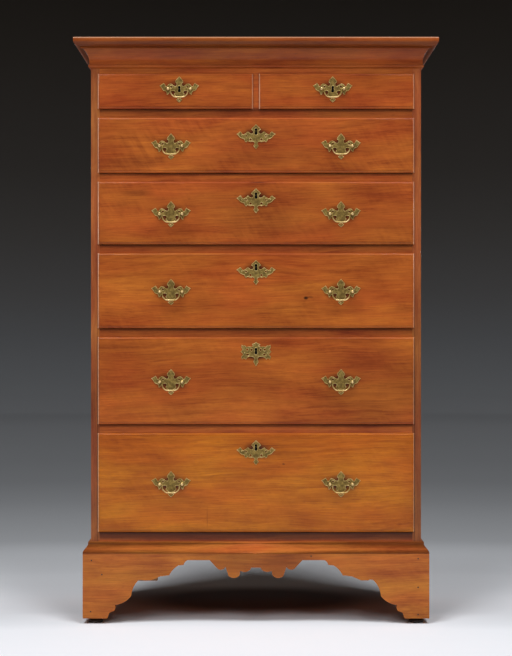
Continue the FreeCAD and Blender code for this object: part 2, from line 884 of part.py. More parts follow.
def make_drawer_panel(name, row, left, right):
    """A drawer's bottom, bevelled underneath to fit its grooves, and running out under the back."""
    inset = size.front_clearance + size.drawer_side - size.groove_depth
    low = getattr(size, f"opening_{row}") + size.panel_lift
    top = low + size.panel_thickness
    edge = top - size.panel_edge
    start = left + inset
    end = right - inset
    corners = [(start, top), (start, edge), (start + size.panel_bevel, low),
               (end - size.panel_bevel, low), (end, edge), (end, top)]
    panel = padded(name, "XZ_Plane", closed_outline(straight(corners)),
                   "box_back - block_back + groove_depth")
    place(panel, y="box_back")
    return panel


def make_lipped_slab(name, left, right, bottom, top):
    """The face of a drawer: a lip with a rounded front edge, and a field one small step prouder."""
    across = (f"{left} - lip_overlap", f"{right} + lip_overlap")
    level = (f"{bottom} + front_clearance", f"{top} + lip_overlap")
    lip = board(name + "_lip", across, ("drawer_face + lip_step", "case_front"), level)
    lip.recompute()
    front = lip.Shape.BoundBox.YMin
    rounded = doc.addObject("Part::Fillet", name + "_thumb_mould")
    rounded.Base = lip
    front_edges = []
    for number, edge in enumerate(lip.Shape.Edges, start=1):
        if max(vertex.Y for vertex in edge.Vertexes) - front < size.lip_step / 2:
            front_edges.append((number, size.lip_round, size.lip_round))
    rounded.Edges = front_edges
    border = "lip_round + lip_step"
    field = board(name + "_field", (f"{across[0]} + {border}", f"{across[1]} - ({border})"),
                  ("drawer_face", "case_front"), (f"{level[0]} + {border}", f"{level[1]} - ({border})"))
    block = board(name + "_block", (f"{left} + front_clearance", f"{right} - front_clearance"),
                  ("case_front", "block_back"), (f"{bottom} + front_clearance", f"{top} - front_clearance"))
    return fused(name + "_blank", [rounded, field, block])


def make_drawer(name, row, left, right, edges, pulls, lock_place, key_level, escutcheon):
    """One drawer: its front, its dovetailed box, its brasses, its bails and its lock bolt.

    left and right are the opening's edges as formulas, and edges the same as numbers. pulls lists
    (name, master, x) of each bail pull. key_level is the height of the keyhole's middle.
    """
    bottom = f"opening_{row}"
    top = f"(opening_{row} + height_{row})"
    outer_left = f"{left} + front_clearance"
    outer_right = f"{right} - front_clearance"

    blank = make_drawer_side(f"{name}_side_blank", row)
    panel = make_drawer_panel(f"{name}_bottom", row, *edges)
    side_left = copy_of(f"{name}_side_left_blank", blank, x=outer_left)
    side_right = copy_of(f"{name}_side_right_blank", blank, x=outer_right + " - drawer_side")
    back_board = board(f"{name}_back_blank", (outer_left, outer_right),
                       ("box_back - drawer_back", "box_back"),
                       (f"{bottom} + panel_lift + panel_thickness", f"{top} - side_headroom"))
    back = cut(f"{name}_back", back_board, [side_left, side_right])
    box = group(f"{name}_box", [cut(f"{name}_side_left", side_left, [panel]),
                                cut(f"{name}_side_right", side_right, [panel]), back, panel])

    pull_level = f"{bottom} + height_{row} / 2"
    if row == ROWS[0]:
        pull_level += " + short_pull_rise"
    lock_level = f"{top} - front_clearance"
    tools = [side_left, side_right, panel,
             copy_of(f"{name}_keyhole", masters.keyhole_core, lock_place, "drawer_face", key_level)]
    brasses = [copy_of(f"{name}_lock", masters.lock_case, lock_place, "block_back", lock_level)]
    bails = []
    for side, master, x in pulls:
        tools.append(copy_of(f"{name}_post_holes{side}", masters.post_core, x, "drawer_face", pull_level))
        brasses.append(copy_of(f"{name}_pull{side}", master, x, "drawer_face", pull_level))
        bails.append(copy_of(f"{name}_bail{side}", masters.bail, x, "drawer_face - pivot_line", pull_level))
    if escutcheon:
        brasses.append(copy_of(f"{name}_escutcheon", escutcheon, lock_place, "drawer_face",
                               f"{key_level} - keyhole_rise"))
    front = cut(f"{name}_front", make_lipped_slab(name, left, right, bottom, top), tools)
    bolt = copy_of(f"{name}_lock_bolt", masters.bolt, lock_place, "block_back", lock_level)
    return [front, box, group(f"{name}_brasses", brasses)] + bails + [bolt]


def make_short_drawers():
    """The two drawers side by side in the top row, each with one keyed pull."""
    key_level = "opening_1 + height_1 / 2 + short_pull_rise"
    half = size.divider_width / 2
    left_place = "-short_pull_place"
    right_place = "short_pull_place"
    left = make_drawer("drawer_1_left", ROWS[0], "-inner_half", "-divider_width / 2",
                       (-size.inner_half, -half), [("", masters.keyed_pull, left_place)],
                       left_place, key_level, None)
    right = make_drawer("drawer_1_right", ROWS[0], "divider_width / 2", "inner_half",
                        (half, size.inner_half), [("", masters.keyed_pull, right_place)],
                        right_place, key_level, None)
    return left + right


def make_long_drawers():
    """The five drawers over the full width, each with two pulls and an escutcheon."""
    pieces = []
    pulls = [("_left", masters.pull, "-long_pull_place"), ("_right", masters.pull, "long_pull_place")]
    for row in ROWS[1:]:
        key_level = f"opening_{row} + height_{row} + lip_overlap - keyhole_drop"
        plate = masters.square_escutcheon if row == ROWS[4] else masters.escutcheon
        pieces += make_drawer(f"drawer_{row}", row, "-inner_half", "inner_half",
                              (-size.inner_half, size.inner_half), pulls, "0", key_level, plate)
    return pieces


def make_masters():
    """The brasses and cores that are used again and again, each about its own origin."""
    plain_plate, keyed_plate = make_pull_plates()
    usual, square = make_escutcheons()
    post = make_post()
    lock_case, bolt, mortise = make_lock()
    posts, keyhole = make_cores()
    doc.recompute()
    found = SimpleNamespace(
        pull=make_pull("pull", plain_plate, post),
        keyed_pull=make_pull("keyed_pull", keyed_plate, post),
        escutcheon=usual,
        square_escutcheon=square,
        bail=make_bail(),
        lock_case=lock_case,
        bolt=bolt,
        mortise=mortise,
        post_core=posts,
        keyhole_core=keyhole,
    )
    doc.recompute()
    return found


def make_mortises():
    """The room for each lock's bolt in the rail above its drawer, by row."""
    mortises = {}
    for row in ROWS:
        level = f"opening_{row} + height_{row} - front_clearance"
        places = ["-short_pull_place", "short_pull_place"] if row == ROWS[0] else ["0"]
        mortises[row] = []
        for number, x in enumerate(places):
            mortises[row].append(copy_of(f"mortise_{row}_{number}", masters.mortise, x, "block_back", level))
    return mortises


def make_case():
    """Everything that stays still: the carcase, the mouldings and the base."""
    mortises = make_mortises()
    case_top = make_case_top()
    case_bottom = make_case_bottom()
    back_boards = make_back_boards()
    divider = make_divider()
    runners = make_runners()
    centre_runner = make_centre_runner()
    rails = make_rails(make_rail_blank(), divider, mortises)
    top_rail = make_top_rail(divider, mortises[ROWS[0]])
    sides = make_sides([case_top, case_bottom, top_rail] + rails + runners + back_boards)
    zone = make_mitre_zone()
    cornice = make_moulding("cornice", CORNICE_SHARES, "cornice_bottom", "cornice_projection",
                            "cornice_height", zone)
    moulding = make_moulding("base_moulding", BASE_MOULDING_SHARES, "base_top", "base_projection",
                             "moulding_height", zone)
    pieces = list(sides)
    pieces += [case_top, case_bottom, group("back_boards", back_boards), top_rail]
    pieces += [group("drawer_rails", rails), divider, group("drawer_runners", runners), centre_runner]
    pieces += cornice
    pieces += [group("base_moulding", moulding), make_base_front(zone)]
    pieces += make_base_sides(zone)
    pieces += [group("rear_foot_brackets", make_rear_brackets())]
    pieces += [group("foot_blocks", make_foot_blocks()), group("foot_glides", make_glides())]
    return pieces


def check_and_write(pieces):
    """Stop on any failed object or bad shape, then write one file for each piece."""
    for thing in doc.Objects:
        if "Invalid" in thing.State or "Error" in thing.State:
            raise RuntimeError(f"{thing.Label} failed: {thing.State}")
    for piece in pieces:
        piece.Label = piece.Name
        if piece.Shape.isNull() or not piece.Shape.isValid() or not piece.Shape.Solids:
            raise RuntimeError(f"{piece.Label} has no valid shape")
    os.makedirs("parts", exist_ok=True)
    for piece in pieces:
        piece.Shape.exportStep(f"parts/{piece.Label}.step")


size = fill_sheets()
masters = make_masters()
chest = make_case() + make_short_drawers() + make_long_drawers()
doc.recompute()
check_and_write(chest)
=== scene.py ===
import json

import bmesh
import bpy
import numpy as np
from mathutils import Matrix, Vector


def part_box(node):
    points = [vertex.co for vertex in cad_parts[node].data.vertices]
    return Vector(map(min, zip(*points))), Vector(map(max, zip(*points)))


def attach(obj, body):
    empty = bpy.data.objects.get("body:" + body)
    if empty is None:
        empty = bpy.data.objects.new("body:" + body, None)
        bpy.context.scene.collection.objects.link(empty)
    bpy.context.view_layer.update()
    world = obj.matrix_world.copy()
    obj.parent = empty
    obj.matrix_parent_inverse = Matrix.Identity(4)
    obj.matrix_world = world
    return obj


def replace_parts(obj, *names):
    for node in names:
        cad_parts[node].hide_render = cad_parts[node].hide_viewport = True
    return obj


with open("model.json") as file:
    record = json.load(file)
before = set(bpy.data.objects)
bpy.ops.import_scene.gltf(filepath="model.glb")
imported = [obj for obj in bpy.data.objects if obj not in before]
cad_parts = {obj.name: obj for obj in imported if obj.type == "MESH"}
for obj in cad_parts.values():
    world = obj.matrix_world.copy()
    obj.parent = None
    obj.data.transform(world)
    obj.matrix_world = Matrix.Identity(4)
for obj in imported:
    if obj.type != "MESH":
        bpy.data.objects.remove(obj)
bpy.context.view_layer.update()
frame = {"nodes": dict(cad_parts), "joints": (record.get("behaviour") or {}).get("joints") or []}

# A tall chest of drawers in waxed reddish hardwood, with pierced brasses, on a pale studio floor.
# Metres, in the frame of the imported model: the front faces -Y and the floor is at zero.

MM = 0.001
nodes = frame["nodes"]
hinges = {joint["child"]: np.array(joint["pos_m"]) for joint in frame["joints"] if "pos_m" in joint}

DRAWERS = ["drawer_1_left", "drawer_1_right", "drawer_2", "drawer_3", "drawer_4", "drawer_5", "drawer_6"]
KEYED_PULLS = ("drawer_1_left", "drawer_1_right")
SQUARE_ESCUTCHEON = "drawer_5"
BACK_ROWS = 6

# Mending and softening of meshes: how near points are joined, and how wide and sharp edges are eased

POLE_REACH = 0.002 * MM
WELD_REACH = 0.01 * MM
CASE_EDGE = 0.7 * MM
BOX_EDGE = 0.5 * MM
EASED_ANGLE = np.radians(40)
SHARP_ANGLE = np.radians(28)

# Sizes of the brasses

PLATE_THICKNESS = 1.5 * MM
PLATE_ROUND = 0.6 * MM
RIM_RADIUS = 0.7 * MM
RIM_SUNK = 0.3 * MM
CURVE_STEPS = 5
ROUND_STEPS = 2
POST_HALF = 31 * MM
POST_SIDES = 28
FRONT_THICKNESS = 21 * MM
SHANK_RADIUS = 2.6 * MM
SHANK_END_RADIUS = 2.4 * MM
SHANK_SIDES = 12
NUT_RADIUS = 6 * MM
NUT_THICKNESS = 3 * MM
NUT_BEVEL = 0.5 * MM
NUT_FLAT_SHARE = 0.8
NUT_SIDES = 6
BAIL_STEPS = 5
BAIL_SIDES = 14
PIN_RADIUS = 1.3 * MM
PIN_RISE = 0.9 * MM
PIN_SIDES = 14
LOCK_HALF = 23 * MM
LOCK_THICKNESS = 9 * MM
LOCK_EASE = 0.7 * MM
BOLT_HALF = 12.2 * MM
BOLT_SLOT = 5.4 * MM
BOLT_DEPTH = 22 * MM
BOLT_EDGE = 0.5 * MM
SCREW_RADIUS = 3.2 * MM
SCREW_RISE = 0.9 * MM
SCREW_SIDES = 20
SCREW_ACROSS_SHARES = (-0.8, 0.8)
SCREW_DOWN_SHARES = (-0.2, -1.8)
KEYHOLE_DROP = 39 * MM
KEYWAY_HALF = np.array([3.6, 2.5, 9.1]) * MM
KEYWAY_SUNK = 2 * MM
KEYWAY_ROUND = 0.5 * MM

# How bright the brasses are rubbed, from nought to one; a bail's rub grows by the millimetre downwards

RIM_RUB = 0.62
POST_RUB_REACH = 16 * MM
SHANK_RUB = 0.2
NUT_RUB = 0.4
PIN_RUB = 0.8
LOCK_RUB = 0.3
SCREW_RUB = 0.7
BAIL_RUB = 0.40
BAIL_RUB_RATE = 0.016

# Brass outlines in millimetres, right half from the top down; True is a smooth lobe, False a cusp

PULL_OUTLINE = [
    (0, 35.5, False), (5.6, 29.5, True), (10.4, 23, True), (11, 18.4, False), (7.8, 17, True),
    (7.4, 12.4, True), (9.4, 8.4, False), (14.4, 9.4, True), (19, 13, True), (25, 15, True),
    (30.4, 13, True), (33.4, 8.8, False), (37, 7.8, True), (38.8, 12, True), (42.8, 17, False),
    (47.4, 13.6, True), (55, 9.6, False), (50.8, 6, True), (48, 1.4, True), (43.8, -3.6, True),
    (37.6, -5.4, False), (35, -9.6, True), (34, -15.4, False), (29.8, -13.6, True), (27.4, -9, True),
    (23.6, -5.8, True), (18.6, -4.6, True), (13.4, -5.2, True), (12, -9.4, True), (15, -13.8, False),
    (12.8, -17.8, True), (8.6, -20.6, True), (4.4, -23.2, False), (4.4, -25.6, True), (8.8, -28.4, False),
    (5.4, -31.8, True), (0, -36.6, False),
]
PULL_HOLES = [
    [(19.6, 6.8, True), (22.6, 9.6, True), (25.2, 7, True), (22.4, 3.4, False)],
]
TAIL_HOLE = [(0, -25.4, True), (2.2, -27.6, True), (0, -30.2, False), (-2.2, -27.6, True)]
ESCUTCHEON_OUTLINE = [
    (0, 28.2, False), (5.6, 22.4, True), (10.6, 18, True), (13.8, 13, False), (9.8, 11.4, True),
    (8, 7, True), (9.4, 2.4, False), (14.8, 2.4, True), (18.8, 5.2, True), (22.8, 8, False),
    (26.4, 4.4, True), (31, 1.6, True), (34.4, -0.6, False), (37.8, 1.2, True), (40, 5, True),
    (44.2, 8.2, False), (47.8, 4.8, True), (54.6, 0.8, False), (48.8, -2.8, True), (44.8, -8, True),
    (38.6, -11.6, True), (32.4, -13.4, False), (31, -18.2, True), (27.2, -22, False), (23.6, -18.4, True),
    (19.4, -19.8, True), (14.4, -21, True), (8.8, -19.4, True), (4.8, -22, False), (4, -26.4, True),
    (7.4, -31.4, False), (4.6, -35, True), (0, -40.8, False),
]
ESCUTCHEON_HOLES = [
    [(11.8, -14.2, True), (15, -10.8, True), (18.2, -14, True), (15, -17.6, False)],
    [(24.6, -3.6, True), (27.4, -1.4, True), (29.8, -4.2, True), (27, -7, False)],
]
SQUARE_OUTLINE = [
    (0, 34, False), (4.6, 29.6, True), (11.4, 26.4, True), (7, 22.4, False), (12, 20.4, True),
    (21, 20.6, True), (27.4, 19.4, False), (30, 24.4, False), (36, 23, True), (39.6, 26.4, False),
    (40.4, 18.6, True), (36.6, 12.4, False), (42.6, 6.6, False), (37.6, 2, True), (35.6, -2.6, False),
    (40.6, -7, True), (38.4, -15.4, False), (33.2, -11.8, True), (28, -15.4, False), (23.4, -9.4, True),
    (11.4, -7.4, True), (6.4, -9.6, True), (4, -14.4, False), (6.8, -21.4, True), (3.6, -27.4, True),
    (0, -34, False),
]
SQUARE_HOLES = [
    [(9.6, 11.6, True), (12.6, 14.8, True), (15.6, 11.4, True), (12.4, 8, False)],
    [(21.2, 12.6, True), (24.4, 15.4, True), (27.2, 11.8, True), (23.8, 8.8, False)],
    [(19, -2.4, True), (23, 0.6, True), (27.4, -2.6, True), (23.2, -4.4, False)],
]
KEYHOLE = [(0, 9.2, True), (3.7, 5.8, True), (2.5, 2.2, False), (3, -8, True), (0, -9.2, True),
           (-3, -8, True), (-2.5, 2.2, False), (-3.7, 5.8, True)]

# How far a keyhole is above its escutcheon's middle, and its pins out and up from there, in millimetres

KEYHOLE_RISE = 8
USUAL_PINS = (40, -2)
SQUARE_PINS = (31, 3)

# Turned profiles, (radius, out from the face): a post's in millimetres, and a dome's of unit size

POST_PROFILE = [(0, 1.2), (5.4, 1.2), (5.6, 1.9), (5.4, 2.6), (4.4, 3), (3.1, 3.8), (2.7, 5.4), (2.9, 7.2),
                (3.7, 8.2), (3.9, 8.8), (3.7, 9.3), (4.1, 10.6), (4.3, 12.4), (4.2, 14.2), (3.6, 15.9),
                (2.6, 16.9), (1.3, 17.4), (0, 17.5)]
DOME_PROFILE = [(1, 0), (1, 0.2), (0.86, 0.6), (0.5, 0.9), (0, 1)]

# A bail's half path, (across, up) from its pins' line, and its radii along it, in millimetres

BAIL_PATH = [(34, 0), (30, 0), (26.6, 0.1), (23.8, -0.6), (23.6, -4.4), (23.7, -9), (22.2, -14), (18, -19),
             (13.6, -22.6), (8, -23.1), (0, -23.1)]
BAIL_RADII = [1.4, 1.4, 1.4, 1.6, 1.75, 1.7, 1.7, 1.7, 1.75, 1.85, 1.95]

# Camera and studio

CAMERA_DISTANCE = 4.6
CAMERA_HEIGHT = 0.816
VIEW_HEIGHT = 1.817
SENSOR = 36
FLOOR_RADIUS = 14
FLOOR_RINGS = 40
FLOOR_SIDES = 96
WALL_HEIGHT = 12
WALL_CURVE = 3
WALL_CURVE_RINGS = 16

# Shades of the studio's paper, which paint light and shade: metres out from its middle plus metres up the
# wall, and the shade there. It is pale in front of the chest, darker in a painted shadow through a ring
# where the chest stands, and paints the fall of light across the far floor and up the wall

FLOOR_MIDDLE = (0, -4.6, 0)
FLOOR_SHADES = [
    (4.1, 0.95), (4.33, 0.94), (4.46, 0.82), (4.62, 0.74), (4.9, 0.90), (5.3, 0.92), (5.65, 0.66),
    (6.2, 0.40), (6.9, 0.355), (7.7, 0.298), (8.7, 0.270), (10.1, 0.303), (11.9, 0.378), (13.8, 0.472),
    (15.8, 0.515), (16.5, 0.41), (17.2, 0.333), (18.2, 0.238), (19.1, 0.167), (20.2, 0.108),
    (21.1, 0.073), (22.4, 0.044), (23.1, 0.031),
]
PAPER_RED = 0.965
PAPER_BLUE = 1.06
WARM_START = 18
WARM_RATE = 0.05

# A painted shadow on the floor beneath the chest: its middle, half sizes, darkness and fade

UNDER_MIDDLE = (0, 0.20, 0)
UNDER_HALF = (0.46, 0.28)
UNDER_SHADE = 0.25
UNDER_FULL = 0.5
UNDER_GONE = 1.05

# Lamps: place, aim, width, watts and spread

SOFT_LAMP = 2.6
GRID_LAMP = 0.4
SOFT_SPREAD = np.pi
GRID_SPREAD = np.radians(25)
CHEST_AIM = (0, 0, 0.7)
SIDE_AIM = (0, 0, 1.3)
BACK_AIM = (0, 0.2, 1.3)
LAMPS = {
    "front_left": ((-2.6, -5.8, 5.4), CHEST_AIM, SOFT_LAMP, 118, SOFT_SPREAD),
    "front_right": ((2.6, -5.8, 5.4), CHEST_AIM, SOFT_LAMP, 100, SOFT_SPREAD),
    "top_left": ((-2.2, -3.2, 8.6), CHEST_AIM, SOFT_LAMP, 345, SOFT_SPREAD),
    "top_right": ((2.2, -3.2, 8.6), CHEST_AIM, SOFT_LAMP, 299, SOFT_SPREAD),
    "side_left": ((-5.0, 0.3, 1.35), SIDE_AIM, GRID_LAMP, 0.8, GRID_SPREAD),
    "side_right": ((5.0, 0.3, 1.35), SIDE_AIM, GRID_LAMP, 0.8, GRID_SPREAD),
    "back_left": ((-3.0, 4.4, 1.35), BACK_AIM, GRID_LAMP, 1.3, GRID_SPREAD),
    "back_right": ((3.0, 4.4, 1.35), BACK_AIM, GRID_LAMP, 1.3, GRID_SPREAD),
}
WORLD_LIGHT = 0.035


def grid_faces(rows, columns):
    """Quads over a grid of points, wound round its columns: each joins a point to the next ones."""
    row, column = np.meshgrid(np.arange(rows - 1), np.arange(columns), indexing="ij")
    here = row * columns + column
    beside = row * columns + (column + 1) % columns
    return np.stack([here, beside, beside + columns, here + columns], axis=-1).reshape(-1, 4)


def turned(profile, centre, sides):
    """A turned surface about a line along Y: each (radius, out) of the profile goes round a circle.

    x = radius cos a, z = radius sin a, y = -out. A profile ends on the axis; a dome is open at its foot.
    """
    profile = np.asarray(profile)
    angle = np.linspace(0, 2 * np.pi, sides, endpoint=False)
    points = np.empty((len(profile), sides, 3))
    points[..., 0] = profile[:, :1] * np.cos(angle)
    points[..., 1] = -profile[:, 1:]
    points[..., 2] = profile[:, :1] * np.sin(angle)
    return (points + centre).reshape(-1, 3), grid_faces(len(profile), sides).tolist()


def swept(path, radii, sides):
    """A round bar along a path in the XZ plane: at each point a circle across the path's direction.

    point = path + radius (cos a * sideways - sin a * y), where sideways is the direction turned a quarter.
    """
    way = np.gradient(path, axis=0)
    way /= np.linalg.norm(way, axis=1, keepdims=True)
    sideways = np.stack([-way[:, 2], np.zeros(len(way)), way[:, 0]], axis=-1)
    angle = np.linspace(0, 2 * np.pi, sides, endpoint=False)[None, :, None]
    depth = np.array([0, 1, 0])
    ring = np.cos(angle) * sideways[:, None, :] - np.sin(angle) * depth
    points = path[:, None, :] + radii[:, None, None] * ring
    return points.reshape(-1, 3), grid_faces(len(path), sides).tolist()


def rounded_block(low, high, radius, steps=4):
    """A box with rounded edges: a ball of that radius, its eight parts moved out to the box's corners.

    point = corner of the inner box in the ball's octant + radius times the ball's normal.
    """
    low, high = np.asarray(low), np.asarray(high)
    quarter = np.linspace(0, np.pi / 2, steps)
    around = np.concatenate([quarter + turn * np.pi / 2 for turn in range(4)])
    turn = np.repeat(np.arange(4), steps)
    tilt = np.concatenate([quarter - np.pi / 2, quarter])
    upper = np.repeat([-1, 1], steps)
    normal = np.empty((len(tilt), len(around), 3))
    normal[..., 0] = np.cos(tilt)[:, None] * np.cos(around)
    normal[..., 1] = np.cos(tilt)[:, None] * np.sin(around)
    normal[..., 2] = np.sin(tilt)[:, None]
    octant = np.empty_like(normal)
    octant[..., 0] = np.where((turn == 0) | (turn == 3), 1, -1)
    octant[..., 1] = np.where(turn < 2, 1, -1)
    octant[..., 2] = upper[:, None]
    points = (low + high) / 2 + octant * ((high - low) / 2 - radius) + radius * normal
    return points.reshape(-1, 3), grid_faces(len(tilt), len(around)).tolist()


def joined(parts):
    """Several (points, faces, rub) put into one set of lists."""
    points, faces, rubs, start = [], [], [], 0
    for part_points, part_faces, rub in parts:
        points.append(part_points)
        faces.extend([[start + corner for corner in face] for face in part_faces])
        rubs.append(np.broadcast_to(rub, len(part_points)))
        start += len(part_points)
    return np.concatenate(points), faces, np.concatenate(rubs)


def piece(name, parts, body, material):
    """A finished piece from its parts, with its poles closed and flat faces kept flat, riding on a body."""
    points, faces, rub = joined(parts)
    mesh = bpy.data.meshes.new(name)
    mesh.from_pydata(points.tolist(), [], faces)
    mesh.attributes.new("rub", "FLOAT", "POINT").data.foreach_set("value", rub.astype(np.float32))
    shell = bmesh.new()
    shell.from_mesh(mesh)
    bmesh.ops.remove_doubles(shell, verts=shell.verts, dist=POLE_REACH)
    bmesh.ops.recalc_face_normals(shell, faces=shell.faces)
    shell.to_mesh(mesh)
    shell.free()
    mesh.polygons.foreach_set("use_smooth", [True] * len(mesh.polygons))
    mesh.materials.append(material)
    made = bpy.data.objects.new(name, mesh)
    bpy.context.scene.collection.objects.link(made)
    made.modifiers.new("flat_faces", "WEIGHTED_NORMAL")
    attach(made, body)
    return made


def bezier_ring(curve, points):
    """A closed line through the points: smooth at a lobe, with a corner at a cusp."""
    ring = curve.splines.new("BEZIER")
    ring.bezier_points.add(len(points) - 1)
    ring.use_cyclic_u = True
    for knot, (x, z, smooth) in zip(ring.bezier_points, points):
        knot.co = (x * MM, z * MM, 0)
        knot.handle_left_type = knot.handle_right_type = "AUTO" if smooth else "VECTOR"


def mirrored(points):
    """The mirror image of a run of points, in reverse order."""
    return [(-x, z, smooth) for x, z, smooth in reversed(points)]


def flat_line(name, outline, holes, middle_holes):
    """The closed lines of a plate: its outline, each hole with its mirror image, and the middle holes."""
    curve = bpy.data.curves.new(name, "CURVE")
    curve.dimensions = "2D"
    curve.resolution_u = CURVE_STEPS
    bezier_ring(curve, outline + mirrored(outline[1:-1]))
    for hole in holes:
        bezier_ring(curve, hole)
        bezier_ring(curve, mirrored(hole))
    for hole in middle_holes:
        bezier_ring(curve, hole)
    return curve


def curve_mesh(name, curve, stand_off):
    """A flat curve made a mesh and stood up to face -Y, its middle plane at that stand-off.

    Each point (x, y, z) of the flat mesh goes to (x, -z - stand-off, y).
    """
    holder = bpy.data.objects.new(name, curve)
    flat = bpy.data.meshes.new_from_object(holder)
    bpy.data.objects.remove(holder)
    points = np.empty(3 * len(flat.vertices))
    flat.vertices.foreach_get("co", points)
    x, y, z = points.reshape(-1, 3).T
    return np.stack([x, -z - stand_off, y], axis=-1), [list(face.vertices) for face in flat.polygons]


def plate(name, outline, holes, middle_holes):
    """A pierced plate with rounded edges, and a raised rim round its outline and its holes."""
    sheet = flat_line(name, outline, holes, middle_holes)
    sheet.fill_mode = "BOTH"
    sheet.extrude = PLATE_THICKNESS / 2 - PLATE_ROUND
    sheet.bevel_depth = PLATE_ROUND
    sheet.bevel_resolution = ROUND_STEPS
    sheet.offset = -PLATE_ROUND
    sheet_points, sheet_faces = curve_mesh(name, sheet, PLATE_THICKNESS / 2)
    rim = flat_line(name + "_rim", outline, holes, middle_holes)
    rim.fill_mode = "NONE"
    rim.bevel_depth = RIM_RADIUS
    rim.bevel_resolution = ROUND_STEPS
    rim.offset = -RIM_RADIUS
    rim_points, rim_faces = curve_mesh(name + "_rim", rim, PLATE_THICKNESS - RIM_SUNK)
    return joined([(sheet_points, sheet_faces, 0.0), (rim_points, rim_faces, RIM_RUB)])


def moved(part, place):
    """A part moved to a place."""
    points, faces, rub = part
    return points + place, faces, rub


def smooth_line(points, steps):
    """A quadratic B-spline: each stretch blends three points in a row with the weights of a parabola."""
    points = np.asarray(points, dtype=float)
    points = np.concatenate([2 * points[:1] - points[1:2], points, 2 * points[-1:] - points[-2:-1]])
    t = np.linspace(0, 1, steps, endpoint=False)[None, :, None]
    first, second, third = points[:-2, None], points[1:-1, None], points[2:, None]
    line = first * (1 - t) ** 2 / 2 + second * (0.5 + t - t ** 2) + third * t ** 2 / 2
    return line.reshape(-1, points.shape[1])


# Node helpers


def add_node(tree, kind, inputs=None, **settings):
    """A node with its settings, its inputs set to numbers or joined to other nodes' outputs."""
    node = tree.nodes.new(kind)
    for name, value in settings.items():
        setattr(node, name, value)
    for name, value in (inputs or {}).items():
        if isinstance(value, bpy.types.NodeSocket):
            tree.links.new(value, node.inputs[name])
        else:
            node.inputs[name].default_value = value
    return node


def weighted_sum(tree, terms):
    """The sum of weight * (value - 0.5) over the terms, plus one half."""
    total = None
    for value, weight in terms:
        centred = add_node(tree, "ShaderNodeMath", {0: value, 1: 0.5}, operation="SUBTRACT")
        term = add_node(tree, "ShaderNodeMath", {0: centred.outputs[0], 1: weight,
                                                 2: total if total else 0.5}, operation="MULTIPLY_ADD")
        total = term.outputs[0]
    return total


def stretched(tree, vector, scale):
    """The vector scaled along its three axes."""
    return add_node(tree, "ShaderNodeVectorMath", {0: vector, 1: scale}, operation="MULTIPLY").outputs[0]


def noise(tree, vector, scale, detail):
    """Soft noise between nought and one."""
    node = add_node(tree, "ShaderNodeTexNoise", {"Vector": vector, "Scale": scale, "Detail": detail})
    return node.outputs["Fac"]


def figure(tree, vector, cells, detail):
    """Soft noise stretched along the grain, by its cells to the metre along it and across it."""
    return noise(tree, stretched(tree, vector, cells), 1.0, detail)


def new_material(name):
    """An empty node material with its shader, ready for its recipe."""
    material = bpy.data.materials.new(name)
    material.use_nodes = True
    return material, material.node_tree, material.node_tree.nodes["Principled BSDF"]


# The wood's figure: cells to the metre along the grain and across it, its sway and the slant of its curl

SWAY_CELLS = (2.2, 6, 6)
STREAK_CELLS = (3.2, 105, 105)
FINE_CELLS = (10, 330, 330)
FIBRE_CELLS = (16, 760, 760)
MOTTLE_CELLS = (5.2, 12, 12)
RIPPLE_CELLS = (95, 16, 16)
PATCH_CELLS = (5.46, 10.4, 10.4)
HUE_CELLS = (4.0, 17, 17)
PORE_CELLS = (60, 900, 900)
SWAY_REACH = (0.0, 0.05, 0.05)
RIPPLE_SLANT = 0.55

# Tints of the wood's red and golden patches and of its pores

RED_TINT = (0.97, 0.85, 0.93)
GOLD_TINT = (1.04, 1.16, 1.06)
PORE_TINT = (0.45, 0.4, 0.4)


